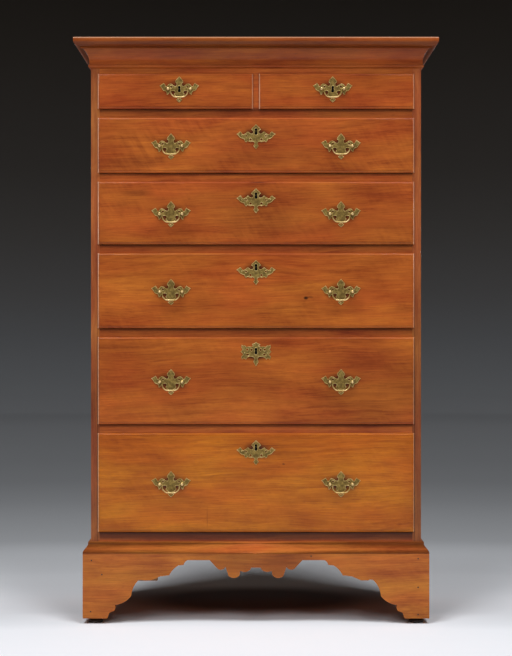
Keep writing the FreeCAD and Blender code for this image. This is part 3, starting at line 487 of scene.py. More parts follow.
def grain_group():
    """Wood grain along X: faint rings, streaks, fibres, curl, pores, and patches from red to gold."""
    tree = bpy.data.node_groups.new("hardwood_grain", "ShaderNodeTree")
    for name, kind in (("Place", "NodeSocketVector"), ("Dark", "NodeSocketColor"),
                       ("Light", "NodeSocketColor"), ("Rings", "NodeSocketFloat"),
                       ("Curl", "NodeSocketFloat"), ("Hue", "NodeSocketFloat")):
        tree.interface.new_socket(name=name, in_out="INPUT", socket_type=kind)
    for name, kind in (("Color", "NodeSocketColor"), ("Height", "NodeSocketFloat"),
                       ("Sheen", "NodeSocketFloat")):
        tree.interface.new_socket(name=name, in_out="OUTPUT", socket_type=kind)
    given = tree.nodes.new("NodeGroupInput").outputs
    place = given["Place"]
    sway = add_node(tree, "ShaderNodeTexNoise",
                    {"Vector": stretched(tree, place, SWAY_CELLS), "Scale": 1.0, "Detail": 2.0})
    shift = add_node(tree, "ShaderNodeVectorMath",
                     {0: sway.outputs["Color"], 1: SWAY_REACH, 2: place},
                     operation="MULTIPLY_ADD").outputs[0]
    rings = add_node(tree, "ShaderNodeTexWave",
                     {"Vector": shift, "Scale": 17.0, "Distortion": 3.5, "Detail": 3.0,
                      "Detail Scale": 1.6, "Detail Roughness": 0.65},
                     wave_type="RINGS", rings_direction="X", wave_profile="SIN").outputs["Fac"]
    streak = figure(tree, shift, STREAK_CELLS, 4)
    fine = figure(tree, shift, FINE_CELLS, 2)
    fibre = figure(tree, place, FIBRE_CELLS, 2)
    mottle = figure(tree, shift, MOTTLE_CELLS, 4)
    bias = add_node(tree, "ShaderNodeVectorRotate", {"Vector": shift, "Angle": RIPPLE_SLANT},
                    rotation_type="Y_AXIS").outputs[0]
    ripple = figure(tree, bias, RIPPLE_CELLS, 2)
    where = figure(tree, place, PATCH_CELLS, 1)
    patch = add_node(tree, "ShaderNodeMapRange",
                     {"Value": where, "From Min": 0.46, "From Max": 0.62, "To Min": 0.1, "To Max": 1.0})
    curl = add_node(tree, "ShaderNodeMath", {0: patch.outputs[0], 1: given["Curl"]},
                    operation="MULTIPLY").outputs[0]
    tone = weighted_sum(tree, [(rings, given["Rings"]), (streak, 0.55), (fine, 0.75), (fibre, 0.55),
                               (mottle, 1.3), (ripple, curl)])
    tint = add_node(tree, "ShaderNodeMix", {"Factor": tone, "A": given["Dark"], "B": given["Light"]},
                    data_type="RGBA", clamp_factor=True).outputs["Result"]
    hue = figure(tree, shift, HUE_CELLS, 3)
    golden = add_node(tree, "ShaderNodeMapRange",
                      {"Value": hue, "From Min": 0.36, "From Max": 0.64, "To Min": 0.0, "To Max": 1.0})
    red = add_node(tree, "ShaderNodeVectorMath", {0: tint, 1: RED_TINT}, operation="MULTIPLY")
    gold = add_node(tree, "ShaderNodeVectorMath", {0: tint, 1: GOLD_TINT}, operation="MULTIPLY")
    side = weighted_sum(tree, [(golden.outputs[0], given["Hue"])])
    turned_hue = add_node(tree, "ShaderNodeMix",
                          {"Factor": side, "A": red.outputs[0], "B": gold.outputs[0]},
                          data_type="RGBA").outputs["Result"]
    pores = figure(tree, place, PORE_CELLS, 1)
    pore = add_node(tree, "ShaderNodeMapRange",
                    {"Value": pores, "From Min": 0.64, "From Max": 0.76, "To Min": 0.0, "To Max": 0.4})
    deep = add_node(tree, "ShaderNodeVectorMath", {0: given["Dark"], 1: PORE_TINT}, operation="MULTIPLY")
    colour = add_node(tree, "ShaderNodeMix",
                      {"Factor": pore.outputs[0], "A": turned_hue, "B": deep.outputs[0]},
                      data_type="RGBA")
    height = weighted_sum(tree, [(fibre, 0.8), (fine, 0.5), (pores, -0.4)])
    out = tree.nodes.new("NodeGroupOutput")
    tree.links.new(colour.outputs["Result"], out.inputs["Color"])
    tree.links.new(height, out.inputs["Height"])
    tree.links.new(mottle, out.inputs["Sheen"])
    return tree


# Marks in the wood, of real dirt and of painted shade, and its painted highlights: their tints, how their
# outlines wander, and how they fade

DIRT_AND_SHADE_TINT = (0.02, 0.006, 0.003)
PAINTED_HIGHLIGHT_TINT = (0.80, 0.54, 0.36)
MARK_CELLS = 140.0
MARK_WANDER = (2 * MM, 0, 1.5 * MM)
MARK_FULL = 0.4
MARK_GONE = 1.4

# Turns that bring a piece's grain onto X, the step between the figures of stacked boards, and the relief

GRAIN_TURNS = {"x": (0.03, 0.02, 0.012), "y": (0.03, 0.02, -1.57), "z": (0.03, 1.57, 0.02)}
BOARD_STEP = (1.73, 0.61, 0.37)
RELIEF = 0.4 * MM


def marked(tree, place, colour, marks, tint):
    """The colour turned to a tint at marks, each (x, z, half width, half height, depth) on the front."""
    wobble = add_node(tree, "ShaderNodeTexNoise", {"Vector": place, "Scale": MARK_CELLS, "Detail": 2.0})
    sway = add_node(tree, "ShaderNodeVectorMath", {0: wobble.outputs["Color"], 1: (0.5, 0.5, 0.5)},
                    operation="SUBTRACT")
    near = add_node(tree, "ShaderNodeVectorMath",
                    {0: sway.outputs[0], 1: MARK_WANDER, 2: place}, operation="MULTIPLY_ADD")
    for x, z, wide, tall, depth in marks:
        apart = add_node(tree, "ShaderNodeVectorMath", {0: near.outputs[0], 1: (x, 0, z)},
                         operation="SUBTRACT")
        shares = add_node(tree, "ShaderNodeVectorMath", {0: apart.outputs[0], 1: (1 / wide, 0, 1 / tall)},
                          operation="MULTIPLY")
        far = add_node(tree, "ShaderNodeVectorMath", {0: shares.outputs[0]}, operation="LENGTH")
        shade = add_node(tree, "ShaderNodeMapRange",
                         {"Value": far.outputs["Value"], "From Min": MARK_FULL, "From Max": MARK_GONE,
                          "To Min": depth, "To Max": 0.0}, interpolation_type="SMOOTHSTEP")
        colour = add_node(tree, "ShaderNodeMix",
                          {"Factor": shade.outputs[0], "A": colour, "B": (*tint, 1)},
                          data_type="RGBA").outputs["Result"]
    return colour


def wood(name, grain, dark, light, pith, rings=0.14, curl=0.3, hue=1.0, rough=(0.40, 0.54), coat=0.25,
         marks=(), worn=(), rows=None):
    """A board's wood. pith is where the middle of its tree lay, so that each board has its own figure.

    rows is (lowest edge, height of a row) where one piece holds a stack of boards: each has its own figure.
    """
    material, tree, shader = new_material(name)
    place = tree.nodes.new("ShaderNodeTexCoord").outputs["Object"]
    board_place = place
    if rows:
        level = add_node(tree, "ShaderNodeSeparateXYZ", {0: place}).outputs["Z"]
        above = add_node(tree, "ShaderNodeMath", {0: level, 1: rows[0]}, operation="SUBTRACT")
        share = add_node(tree, "ShaderNodeMath", {0: above.outputs[0], 1: rows[1]}, operation="DIVIDE")
        number = add_node(tree, "ShaderNodeMath", {0: share.outputs[0]}, operation="FLOOR").outputs[0]
        board_place = add_node(tree, "ShaderNodeVectorMath", {0: number, 1: BOARD_STEP, 2: place},
                               operation="MULTIPLY_ADD").outputs[0]
    turned_place = add_node(tree, "ShaderNodeMapping",
                            {"Vector": board_place, "Rotation": GRAIN_TURNS[grain], "Location": pith})
    grain_node = add_node(tree, "ShaderNodeGroup", node_tree=hardwood)
    for socket, value in (("Dark", (*dark, 1)), ("Light", (*light, 1)), ("Rings", rings), ("Curl", curl),
                          ("Hue", hue)):
        grain_node.inputs[socket].default_value = value
    tree.links.new(turned_place.outputs[0], grain_node.inputs["Place"])
    colour = grain_node.outputs["Color"]
    # Painted highlights go on first, then the marks of real dirt and of painted shade
    for places, tint in ((worn, PAINTED_HIGHLIGHT_TINT), (marks, DIRT_AND_SHADE_TINT)):
        if places:
            colour = marked(tree, place, colour, places, tint)
    gloss = add_node(tree, "ShaderNodeMapRange",
                     {"Value": grain_node.outputs["Sheen"], "From Min": 0.3, "From Max": 0.7,
                      "To Min": rough[0], "To Max": rough[1]})
    relief = add_node(tree, "ShaderNodeBump",
                      {"Height": grain_node.outputs["Height"], "Strength": 0.12, "Distance": RELIEF})
    tree.links.new(colour, shader.inputs["Base Color"])
    tree.links.new(gloss.outputs[0], shader.inputs["Roughness"])
    tree.links.new(relief.outputs[0], shader.inputs["Normal"])
    shader.inputs["Specular IOR Level"].default_value = 0.08
    shader.inputs["Coat Weight"].default_value = coat
    shader.inputs["Coat Roughness"].default_value = 0.14
    return material


# Colours of the metals and of the painted shade inside a keyhole, and the depth of the brass's pits

BRASS_DARK = (0.165, 0.102, 0.024, 1)
BRASS_OLIVE = (0.430, 0.295, 0.076, 1)
BRASS_BRIGHT = (0.900, 0.680, 0.330, 1)
OLIVE_SHARE = 0.45
CLOUD_CELLS = 130.0
SPECK_CELLS = 900.0
BRASS_PITS = 0.3 * MM
IRON_BLACK = (0.012, 0.011, 0.010, 1)
IRON_RUST = (0.05, 0.032, 0.022, 1)
RUST_CELLS = 140.0
KEYHOLE_SHADE_BLACK = (0.006, 0.005, 0.004, 1)


def brass(name):
    """Old cast brass: olive patina in clouds, rubbed bright where the rub attribute is high."""
    material, tree, shader = new_material(name)
    place = tree.nodes.new("ShaderNodeTexCoord").outputs["Object"]
    cloud = noise(tree, place, CLOUD_CELLS, 4)
    speck = noise(tree, place, SPECK_CELLS, 2)
    rub = add_node(tree, "ShaderNodeAttribute", attribute_name="rub").outputs["Fac"]
    tone = weighted_sum(tree, [(cloud, 1.2), (speck, 0.5), (rub, 0.75)])
    ramp = add_node(tree, "ShaderNodeValToRGB", {"Fac": tone})
    stops = ramp.color_ramp.elements
    stops[0].color = BRASS_DARK
    stops[1].color = BRASS_BRIGHT
    stops.new(OLIVE_SHARE).color = BRASS_OLIVE
    gloss = add_node(tree, "ShaderNodeMapRange",
                     {"Value": tone, "From Min": 0.1, "From Max": 1.0, "To Min": 0.52, "To Max": 0.24})
    relief = add_node(tree, "ShaderNodeBump", {"Height": cloud, "Strength": 0.25, "Distance": BRASS_PITS})
    tree.links.new(ramp.outputs["Color"], shader.inputs["Base Color"])
    tree.links.new(gloss.outputs[0], shader.inputs["Roughness"])
    tree.links.new(relief.outputs[0], shader.inputs["Normal"])
    shader.inputs["Metallic"].default_value = 0.75
    return material


def iron(name):
    """Dark painted iron, a little rusty."""
    material, tree, shader = new_material(name)
    place = tree.nodes.new("ShaderNodeTexCoord").outputs["Object"]
    rust = noise(tree, place, RUST_CELLS, 4)
    colour = add_node(tree, "ShaderNodeMix", {"Factor": rust, "A": IRON_BLACK, "B": IRON_RUST},
                      data_type="RGBA")
    tree.links.new(colour.outputs["Result"], shader.inputs["Base Color"])
    shader.inputs["Roughness"].default_value = 0.55
    shader.inputs["Metallic"].default_value = 0.4
    return material


def shadow(name):
    """Painted shade for the inside of a keyhole: nearly black and without gloss."""
    material, _, shader = new_material(name)
    shader.inputs["Base Color"].default_value = KEYHOLE_SHADE_BLACK
    shader.inputs["Roughness"].default_value = 0.95
    shader.inputs["Specular IOR Level"].default_value = 0.0
    return material


def soft_shading_group():
    """Shade a mesh smooth, apart from its edges sharper than a few facets of a curve."""
    tree = bpy.data.node_groups.new("soft_shading", "GeometryNodeTree")
    for way in ("INPUT", "OUTPUT"):
        tree.interface.new_socket(name="Geometry", in_out=way, socket_type="NodeSocketGeometry")
    given = tree.nodes.new("NodeGroupInput").outputs["Geometry"]
    faces = add_node(tree, "GeometryNodeSetShadeSmooth", {"Geometry": given, "Shade Smooth": True},
                     domain="FACE")
    angle = tree.nodes.new("GeometryNodeInputMeshEdgeAngle").outputs["Unsigned Angle"]
    sharp = add_node(tree, "FunctionNodeCompare", {0: angle, 1: SHARP_ANGLE},
                     data_type="FLOAT", operation="GREATER_THAN")
    edges = add_node(tree, "GeometryNodeSetShadeSmooth",
                     {"Geometry": faces.outputs[0], "Selection": sharp.outputs[0], "Shade Smooth": False},
                     domain="EDGE")
    out = tree.nodes.new("NodeGroupOutput")
    tree.links.new(edges.outputs[0], out.inputs["Geometry"])
    return tree


def dress(node, material, edge=0.0):
    """Give a carried-over piece its finish, eased edges of that width, and smooth curves."""
    carried = nodes[node]
    carried.data.materials.clear()
    carried.data.materials.append(material)
    weld = carried.modifiers.new("weld", "WELD")
    weld.merge_threshold = WELD_REACH
    if edge:
        bevel = carried.modifiers.new("eased_edges", "BEVEL")
        bevel.width = edge
        bevel.segments = 2
        bevel.limit_method = "ANGLE"
        bevel.angle_limit = EASED_ANGLE
    shading = carried.modifiers.new("soft_shading", "NODES")
    shading.node_group = soft_shading
    normals = carried.modifiers.new("flat_faces", "WEIGHTED_NORMAL")
    normals.keep_sharp = True


# Dark and light colours of the woods

CHERRY_DARK = np.array([0.215, 0.0380, 0.0077])
CHERRY_LIGHT = np.array([0.535, 0.1350, 0.0195])
PINE_DARK = (0.40, 0.225, 0.095)
PINE_LIGHT = (0.58, 0.365, 0.175)
OLD_PINE_DARK = (0.21, 0.108, 0.050)
OLD_PINE_LIGHT = (0.39, 0.222, 0.108)


def cherry(name, grain, pith, warmth=0.0, light=1.0, bloom=1.0, **look):
    """The case's reddish hardwood: warmth moves it to gold, light lightens it, bloom greys its orange."""
    warm = np.array([1.0, 1.0 + warmth, (1.0 + warmth) * bloom])
    return wood(name, grain, CHERRY_DARK * warm * light, CHERRY_LIGHT * warm * light, pith, **look)


def pine(name, grain, dark, light, pith, rough, **look):
    """Plain softwood without wax: clear rings, no curl and an even hue."""
    return wood(name, grain, dark, light, pith, rings=0.3, curl=0.0, hue=0.3, rough=rough, coat=0.0, **look)


hardwood = grain_group()
soft_shading = soft_shading_group()

# Marks on the case: across, up, half width, half height in millimetres, and depth. The sides' marks make
# the lower parts of the stiles darker; the cornice's are painted shade below its top mouldings and a
# painted highlight along its top edge; the returns' are painted shade in their coves; the base's is a stain

ALL_ACROSS = 1500
SIDE_MARKS = [(-452, 450, 60, 340, 0.24), (452, 500, 60, 400, 0.36)]
CORNICE_PAINTED_SHADE = [(0, 1596, ALL_ACROSS, 11, 0.46)]
CORNICE_PAINTED_HIGHLIGHT = [(0, 1613.5, ALL_ACROSS, 2, 0.30)]
RETURN_PAINTED_SHADE = [(-480, 1572, 60, 26, 0.6), (480, 1572, 60, 26, 0.6)]
BASE_MARKS = [(0, 190, 160, 70, 0.34)]

# Painted shade in the gaps beside the lower drawers: how far out and up, half width, half height, and depth

GAP_OUT = 1 * MM
GAP_LEVEL = 450 * MM
GAP_HALF = 1.6 * MM
GAP_HALF_HEIGHT = 420 * MM
GAP_PAINTED_SHADE = 0.55

# Painted shadow close below each drawer's lip, and painted shade on the rail there: how far down, half
# height, and depth by row

LIP_DROP = 2.5 * MM
LIP_HALF_HEIGHT = 5 * MM
LIP_PAINTED_SHADOW = 0.58
RAIL_DROP = 10 * MM
RAIL_HALF_HEIGHT = 14 * MM
RAIL_PAINTED_SHADE = (0.30, 0.0, 0.28, 0.30, 0.04, 0.70)

# The dark joints between the back boards

JOINT_HALF_HEIGHT = 1.4 * MM
JOINT_DIRT = 0.85


def in_metres(marks):
    """Marks given in millimetres turned to metres; their depth stays."""
    return [np.array(mark) * (MM, MM, MM, MM, 1) for mark in marks]


def dress_case():
    """The case's boards and mouldings."""
    low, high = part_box("drawer_6_front")
    # Painted shade down the gaps beside the lower drawers
    gaps = [(x, GAP_LEVEL, GAP_HALF, GAP_HALF_HEIGHT, GAP_PAINTED_SHADE)
            for x in (low[0] - GAP_OUT, high[0] + GAP_OUT)]
    stiles = cherry("case_sides_wood", "z", (0.1, 0.35, 0.25), warmth=0.20, light=0.86, bloom=1.8,
                    marks=in_metres(SIDE_MARKS) + gaps)
    lips = [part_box(drawer + "_front")[0][2] for drawer in DRAWERS[1:]]
    # Painted shadow below each lip, and painted shade on the rail under it
    lip_and_rail_shade = [(0, lip - LIP_DROP, ALL_ACROSS * MM, LIP_HALF_HEIGHT, LIP_PAINTED_SHADOW) for lip in lips]
    lip_and_rail_shade += [(0, lip - RAIL_DROP, ALL_ACROSS * MM, RAIL_HALF_HEIGHT, shade_depth)
              for lip, shade_depth in zip(lips, RAIL_PAINTED_SHADE)]
    rails = cherry("rails_wood", "x", (0.3, 0.15, 0.4), warmth=-0.02, light=1.06, bloom=1.25, marks=lip_and_rail_shade)
    # Painted shade below the cornice's top mouldings, and a painted highlight along its top edge
    cornice = cherry("cornice_front_wood", "x", (1.3, 0.4, -1.2), warmth=-0.08, light=0.80, curl=0.1,
                     marks=in_metres(CORNICE_PAINTED_SHADE), worn=in_metres(CORNICE_PAINTED_HIGHLIGHT))
    # The returns' wood is a darker copy of the cornice's, as painted shade, with more painted shade in
    # their coves
    returns = cherry("cornice_return_wood", "y", (0.7, 0.4, -1.2), warmth=-0.08, light=0.54, curl=0.1,
                     coat=0.0, rough=(0.6, 0.75), marks=in_metres(RETURN_PAINTED_SHADE))
    base = cherry("base_front_wood", "x", (2.3, 0.3, -0.1), warmth=0.26, light=1.08,
                  marks=in_metres(BASE_MARKS))
    moulding = cherry("base_moulding_wood", "x", (2.9, 0.3, -0.1), warmth=0.16, light=1.26, bloom=1.3)
    base_sides = cherry("base_sides_wood", "y", (2.3, 0.3, -0.1), warmth=0.26, light=1.08)
    top = cherry("case_top_wood", "x", (3.1, 0.2, -1.5), warmth=0.1, light=0.85)
    low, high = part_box("back_boards")
    row = (high[2] - low[2]) / BACK_ROWS
    joints = [(0, low[2] + number * row, ALL_ACROSS * MM, JOINT_HALF_HEIGHT, JOINT_DIRT)
              for number in range(1, BACK_ROWS)]
    back = pine("back_pine", "x", OLD_PINE_DARK, OLD_PINE_LIGHT, (0.4, 0.2, 0.1), (0.65, 0.8),
                marks=joints, rows=(low[2], row))
    feet = pine("foot_pine", "x", OLD_PINE_DARK, OLD_PINE_LIGHT, (1.4, 0.2, 0.1), (0.65, 0.8))
    runners = pine("runner_pine", "y", PINE_DARK, PINE_LIGHT, (0.4, 0.2, 0.1), (0.6, 0.75))
    for node in ("case_side_left", "case_side_right"):
        dress(node, stiles, CASE_EDGE)
    for node in ("drawer_rails", "top_rail", "case_bottom", "short_drawer_divider"):
        dress(node, rails, CASE_EDGE)
    dress("cornice_front", cornice)
    dress("cornice_left", returns)
    dress("cornice_right", returns)
    dress("base_moulding", moulding)
    dress("base_front", base, CASE_EDGE)
    dress("base_left", base_sides, CASE_EDGE)
    dress("base_right", base_sides, CASE_EDGE)
    dress("case_top", top)
    dress("back_boards", back, CASE_EDGE)
    dress("rear_foot_brackets", feet, CASE_EDGE)
    dress("foot_blocks", feet, CASE_EDGE)
    dress("drawer_runners", runners, CASE_EDGE)
    dress("short_drawer_runner", runners, CASE_EDGE)
    dress("foot_glides", iron("glide_iron"))


# Knots and stains in the drawers' fronts: across, up, half width, half height in millimetres, and depth

FRONT_MARKS = {
    "drawer_2": [(20, 1318, 130, 80, 0.18), (-350, 1275, 90, 22, 0.22)],
    "drawer_3": [(4, 1220, 20, 3, 0.5), (-330, 1190, 40, 9, 0.25), (30, 1120, 150, 80, 0.16)],
    "drawer_4": [(138, 899, 6.5, 4.5, 0.92), (150, 901, 9, 3, 0.35)],
    "drawer_5": [(340, 660, 140, 110, 0.20)],
    "drawer_6": [(76, 440, 4, 3, 0.55), (-135, 290, 0.9, 30, 0.45)],
}

# Dirt and painted shade round a pull and round an escutcheon, darkest behind the plate and its piercings:
# half width, half height, and depth

PULL_DIRT_AND_SHADE = (38 * MM, 23 * MM, 0.85)
ESCUTCHEON_DIRT_AND_SHADE = (34 * MM, 19 * MM, 0.85)

# Painted highlights along a front's two upright edges: how far in, half width, share of the height, and
# depths

HIGHLIGHT_INSET = 1.3 * MM
HIGHLIGHT_HALF = 1.5 * MM
HIGHLIGHT_HEIGHT_SHARE = 2
LEFT_HIGHLIGHT = 0.52
RIGHT_HIGHLIGHT = 0.34

# Each drawer's front: how golden, how light, how grey, how curly, and where its tree's middle lay

FRONT_LOOKS = {
    "drawer_1_left": (-0.10, 0.92, 1.05, 0.20, (0.2, 0.10, -1.44)),
    "drawer_1_right": (-0.08, 0.94, 1.05, 0.20, (1.1, 0.10, -1.50)),
    "drawer_2": (-0.02, 0.97, 1.05, 0.70, (1.9, 0.12, -1.26)),
    "drawer_3": (-0.02, 0.92, 1.05, 0.55, (2.7, 0.10, -1.16)),
    "drawer_4": (0.04, 1.00, 0.95, 0.30, (3.6, 0.12, -0.90)),
    "drawer_5": (0.00, 0.93, 1.00, 0.30, (4.3, 0.10, -0.70)),
    "drawer_6": (0.16, 1.08, 0.45, 0.25, (5.2, 0.12, -0.32)),
}


def dress_drawers():
    """The drawers' fronts, each cut from its own board, and their pale boxes."""
    box_wood = pine("drawer_box_wood", "y", PINE_DARK, PINE_LIGHT, (0.9, 0.3, 0.2), (0.55, 0.7))
    for drawer, (warmth, light, bloom, curl, pith) in FRONT_LOOKS.items():
        low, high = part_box(drawer + "_front")
        pulls = [hinges[node] for node in nodes if node.startswith(drawer + "_bail")]
        marks = in_metres(FRONT_MARKS.get(drawer, []))
        # Dirt and painted shade behind each pull and escutcheon
        marks += [(x, z, *PULL_DIRT_AND_SHADE) for x, _, z in pulls]
        if drawer not in KEYED_PULLS:
            marks.append((0, high[2] - KEYHOLE_DROP - KEYHOLE_RISE * MM, *ESCUTCHEON_DIRT_AND_SHADE))
        middle = (low[2] + high[2]) / 2
        along = HIGHLIGHT_HEIGHT_SHARE * (high[2] - low[2])
        # Painted highlights: pale lines down the front's two upright edges
        worn = [(low[0] + HIGHLIGHT_INSET, middle, HIGHLIGHT_HALF, along, LEFT_HIGHLIGHT),
                (high[0] - HIGHLIGHT_INSET, middle, HIGHLIGHT_HALF, along, RIGHT_HIGHLIGHT)]
        front = cherry(drawer + "_front_wood", "x", pith, warmth=warmth, light=light, bloom=bloom,
                       curl=curl, marks=marks, worn=worn)
        dress(drawer + "_front", front)
        dress(drawer + "_box", box_wood, BOX_EDGE)


def bail_part():
    """A bail about its pins' line: the half path mirrored, smoothed, and swept with its own thickness."""
    half = [(x, z, radius) for (x, z), radius in zip(BAIL_PATH, BAIL_RADII)]
    whole = half + [(-x, z, radius) for x, z, radius in half[-2::-1]]
    line = smooth_line(whole, BAIL_STEPS) * MM
    path = np.stack([line[:, 0], 0 * line[:, 0], line[:, 1]], axis=-1)
    radii = line[:, 2].copy()
    radii[0] = radii[-1] = 0
    points, faces = swept(path, radii, BAIL_SIDES)
    rub = np.clip(BAIL_RUB - BAIL_RUB_RATE * points[:, 2] / MM, 0, 1)
    return points, faces, rub


def keyway_part(x, face, z):
    """A small block just behind the plate's face that carries the painted shade seen through a keyhole."""
    centre = np.array([x, face + KEYWAY_SUNK, z])
    return (*rounded_block(centre - KEYWAY_HALF, centre + KEYWAY_HALF, KEYWAY_ROUND), 0.0)


def lock_parts(place):
    """A lock let into the drawer's front: two skins, two cheeks and a floor round the bolt, with screws."""
    skin = (LOCK_THICKNESS - BOLT_SLOT) / 2
    inner = LOCK_THICKNESS - LOCK_EASE
    floor_half = BOLT_HALF + LOCK_EASE
    low = -2 * LOCK_HALF
    blocks = [((-LOCK_HALF, 0, low), (LOCK_HALF, skin, 0)),
              ((-LOCK_HALF, LOCK_THICKNESS - skin, low), (LOCK_HALF, LOCK_THICKNESS, 0)),
              ((-LOCK_HALF, LOCK_EASE, low), (-BOLT_HALF, inner, 0)),
              ((BOLT_HALF, LOCK_EASE, low), (LOCK_HALF, inner, 0)),
              ((-floor_half, LOCK_EASE, low), (floor_half, inner, -BOLT_DEPTH))]
    parts = [(*rounded_block(np.add(start, place), np.add(end, place), LOCK_EASE), LOCK_RUB)
             for start, end in blocks]
    screw = np.array(DOME_PROFILE) * (SCREW_RADIUS, -SCREW_RISE)
    for x in SCREW_ACROSS_SHARES:
        for z in SCREW_DOWN_SHARES:
            centre = place + np.array([x * LOCK_HALF, LOCK_THICKNESS, z * LOCK_HALF])
            parts.append((*turned(screw, centre, SCREW_SIDES), SCREW_RUB))
    return parts


def pull_parts(place, face):
    """One pull's posts, shanks and nuts, about its pins' line, on a drawer whose face is at that y."""
    post = np.array(POST_PROFILE) * MM
    back = -FRONT_THICKNESS
    end = back - NUT_THICKNESS
    shank = [(0, end), (SHANK_END_RADIUS, end), (SHANK_RADIUS, 0), (0, 0)]
    nut = [(0, end), (NUT_FLAT_SHARE * NUT_RADIUS, end), (NUT_RADIUS, end + NUT_BEVEL),
           (NUT_RADIUS, back), (0, back)]
    parts = []
    for x in (-POST_HALF, POST_HALF):
        centre = np.array([place[0] + x, face, place[2]])
        points, faces = turned(post, centre, POST_SIDES)
        rub = np.clip((face - points[:, 1]) / POST_RUB_REACH, 0, 1) ** 2
        parts.append((points, faces, rub))
        parts.append((*turned(shank, centre, SHANK_SIDES), SHANK_RUB))
        parts.append((*turned(nut, centre, NUT_SIDES), NUT_RUB))
    return parts


def escutcheon_parts(pierced, pins, place):
    """An escutcheon's plate at a place, and its two pins, so many millimetres out and up from there."""
    out, up = pins
    pin = np.array(DOME_PROFILE) * (PIN_RADIUS, PIN_RISE)
    parts = [moved(pierced, place)]
    for x in (-out, out):
        centre = place + np.array([x * MM, -PLATE_THICKNESS, up * MM])
        parts.append((*turned(pin, centre, PIN_SIDES), PIN_RUB))
    return parts


def make_brasses():
    """Every drawer's plates, posts, nuts, lock and bails, in place of the frame's plain ones."""
    patina = brass("old_brass")
    # Nearly black painted shade for the keyholes
    dark = shadow("keyhole_dark")
    keyhole = [(x, z + KEYHOLE_RISE, smooth) for x, z, smooth in KEYHOLE]
    plain_pull = plate("pull_plate", PULL_OUTLINE, PULL_HOLES, [TAIL_HOLE])
    keyed_pull = plate("keyed_pull_plate", PULL_OUTLINE, PULL_HOLES, [TAIL_HOLE, KEYHOLE])
    usual = plate("escutcheon", ESCUTCHEON_OUTLINE, ESCUTCHEON_HOLES, [keyhole])
    square = plate("square_escutcheon", SQUARE_OUTLINE, SQUARE_HOLES, [keyhole])
    bail = bail_part()
    for drawer in DRAWERS:
        low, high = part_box(drawer + "_front")
        face = low[1]
        keyed = drawer in KEYED_PULLS
        bails = [node for node in nodes if node.startswith(drawer + "_bail")]
        parts = []
        for node in bails:
            place = hinges[node]
            flat = np.array([place[0], face, place[2]])
            parts.append(moved(keyed_pull if keyed else plain_pull, flat))
            parts += pull_parts(place, face)
            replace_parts(piece(node + "_bar", [moved(bail, place)], node, patina), node)
        bolt_low, bolt_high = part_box(drawer + "_lock_bolt")
        middle = (bolt_low[0] + bolt_high[0]) / 2
        if keyed:
            key_level = hinges[bails[0]][2]
        else:
            key_level = high[2] - KEYHOLE_DROP
            place = np.array([middle, face, key_level - KEYHOLE_RISE * MM])
            if drawer == SQUARE_ESCUTCHEON:
                parts += escutcheon_parts(square, SQUARE_PINS, place)
            else:
                parts += escutcheon_parts(usual, USUAL_PINS, place)
        # The painted shade seen through the keyhole
        piece(drawer + "_keyway", [keyway_part(middle, face, key_level)], drawer, dark)
        lock_front = (bolt_low[1] + bolt_high[1]) / 2 - LOCK_THICKNESS / 2
        parts += lock_parts(np.array([middle, lock_front, bolt_high[2]]))
        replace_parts(piece(drawer + "_mounts", parts, drawer, patina),
                    drawer + "_brasses")
        dress(drawer + "_lock_bolt", patina, BOLT_EDGE)


# Old nails: sizes of their heads, places across and up on the base's front in millimetres, rows on the back

BASE_NAIL_RADIUS = 2.1 * MM
BASE_NAIL_RISE = 0.5 * MM
BASE_NAIL_SIDES = 12
BASE_NAILS = [(-454, 175), (-425, 136), (-456, 34), (447, 180), (447, 101), (447, 26), (152, 187)]
BACK_NAIL_RADIUS = 2.6 * MM
BACK_NAIL_RISE = 0.6 * MM
BACK_NAIL_SIDES = 10
BACK_NAIL_INSET = 9 * MM
BACK_NAIL_END = 45 * MM
BACK_NAIL_ROWS = 13


def make_nails():
    """Nail heads: low domes turned about Y on the base's front, and in rows on the back boards."""
    dark = iron("nail_iron")
    head = np.array(DOME_PROFILE) * (BASE_NAIL_RADIUS, BASE_NAIL_RISE)
    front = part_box("base_front")[0][1]
    parts = [(*turned(head, (x * MM, front, z * MM), BASE_NAIL_SIDES), 0.0) for x, z in BASE_NAILS]
    piece("base_nails", parts, "case", dark)
    low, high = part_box("back_boards")
    head = np.array(DOME_PROFILE) * (BACK_NAIL_RADIUS, -BACK_NAIL_RISE)
    parts = []
    for x in (low[0] + BACK_NAIL_INSET, high[0] - BACK_NAIL_INSET):
        for z in np.linspace(low[2] + BACK_NAIL_END, high[2] - BACK_NAIL_END, BACK_NAIL_ROWS):
            parts.append((*turned(head, (x, high[1], z), BACK_NAIL_SIDES), 0.0))
    piece("back_nails", parts, "case", dark)


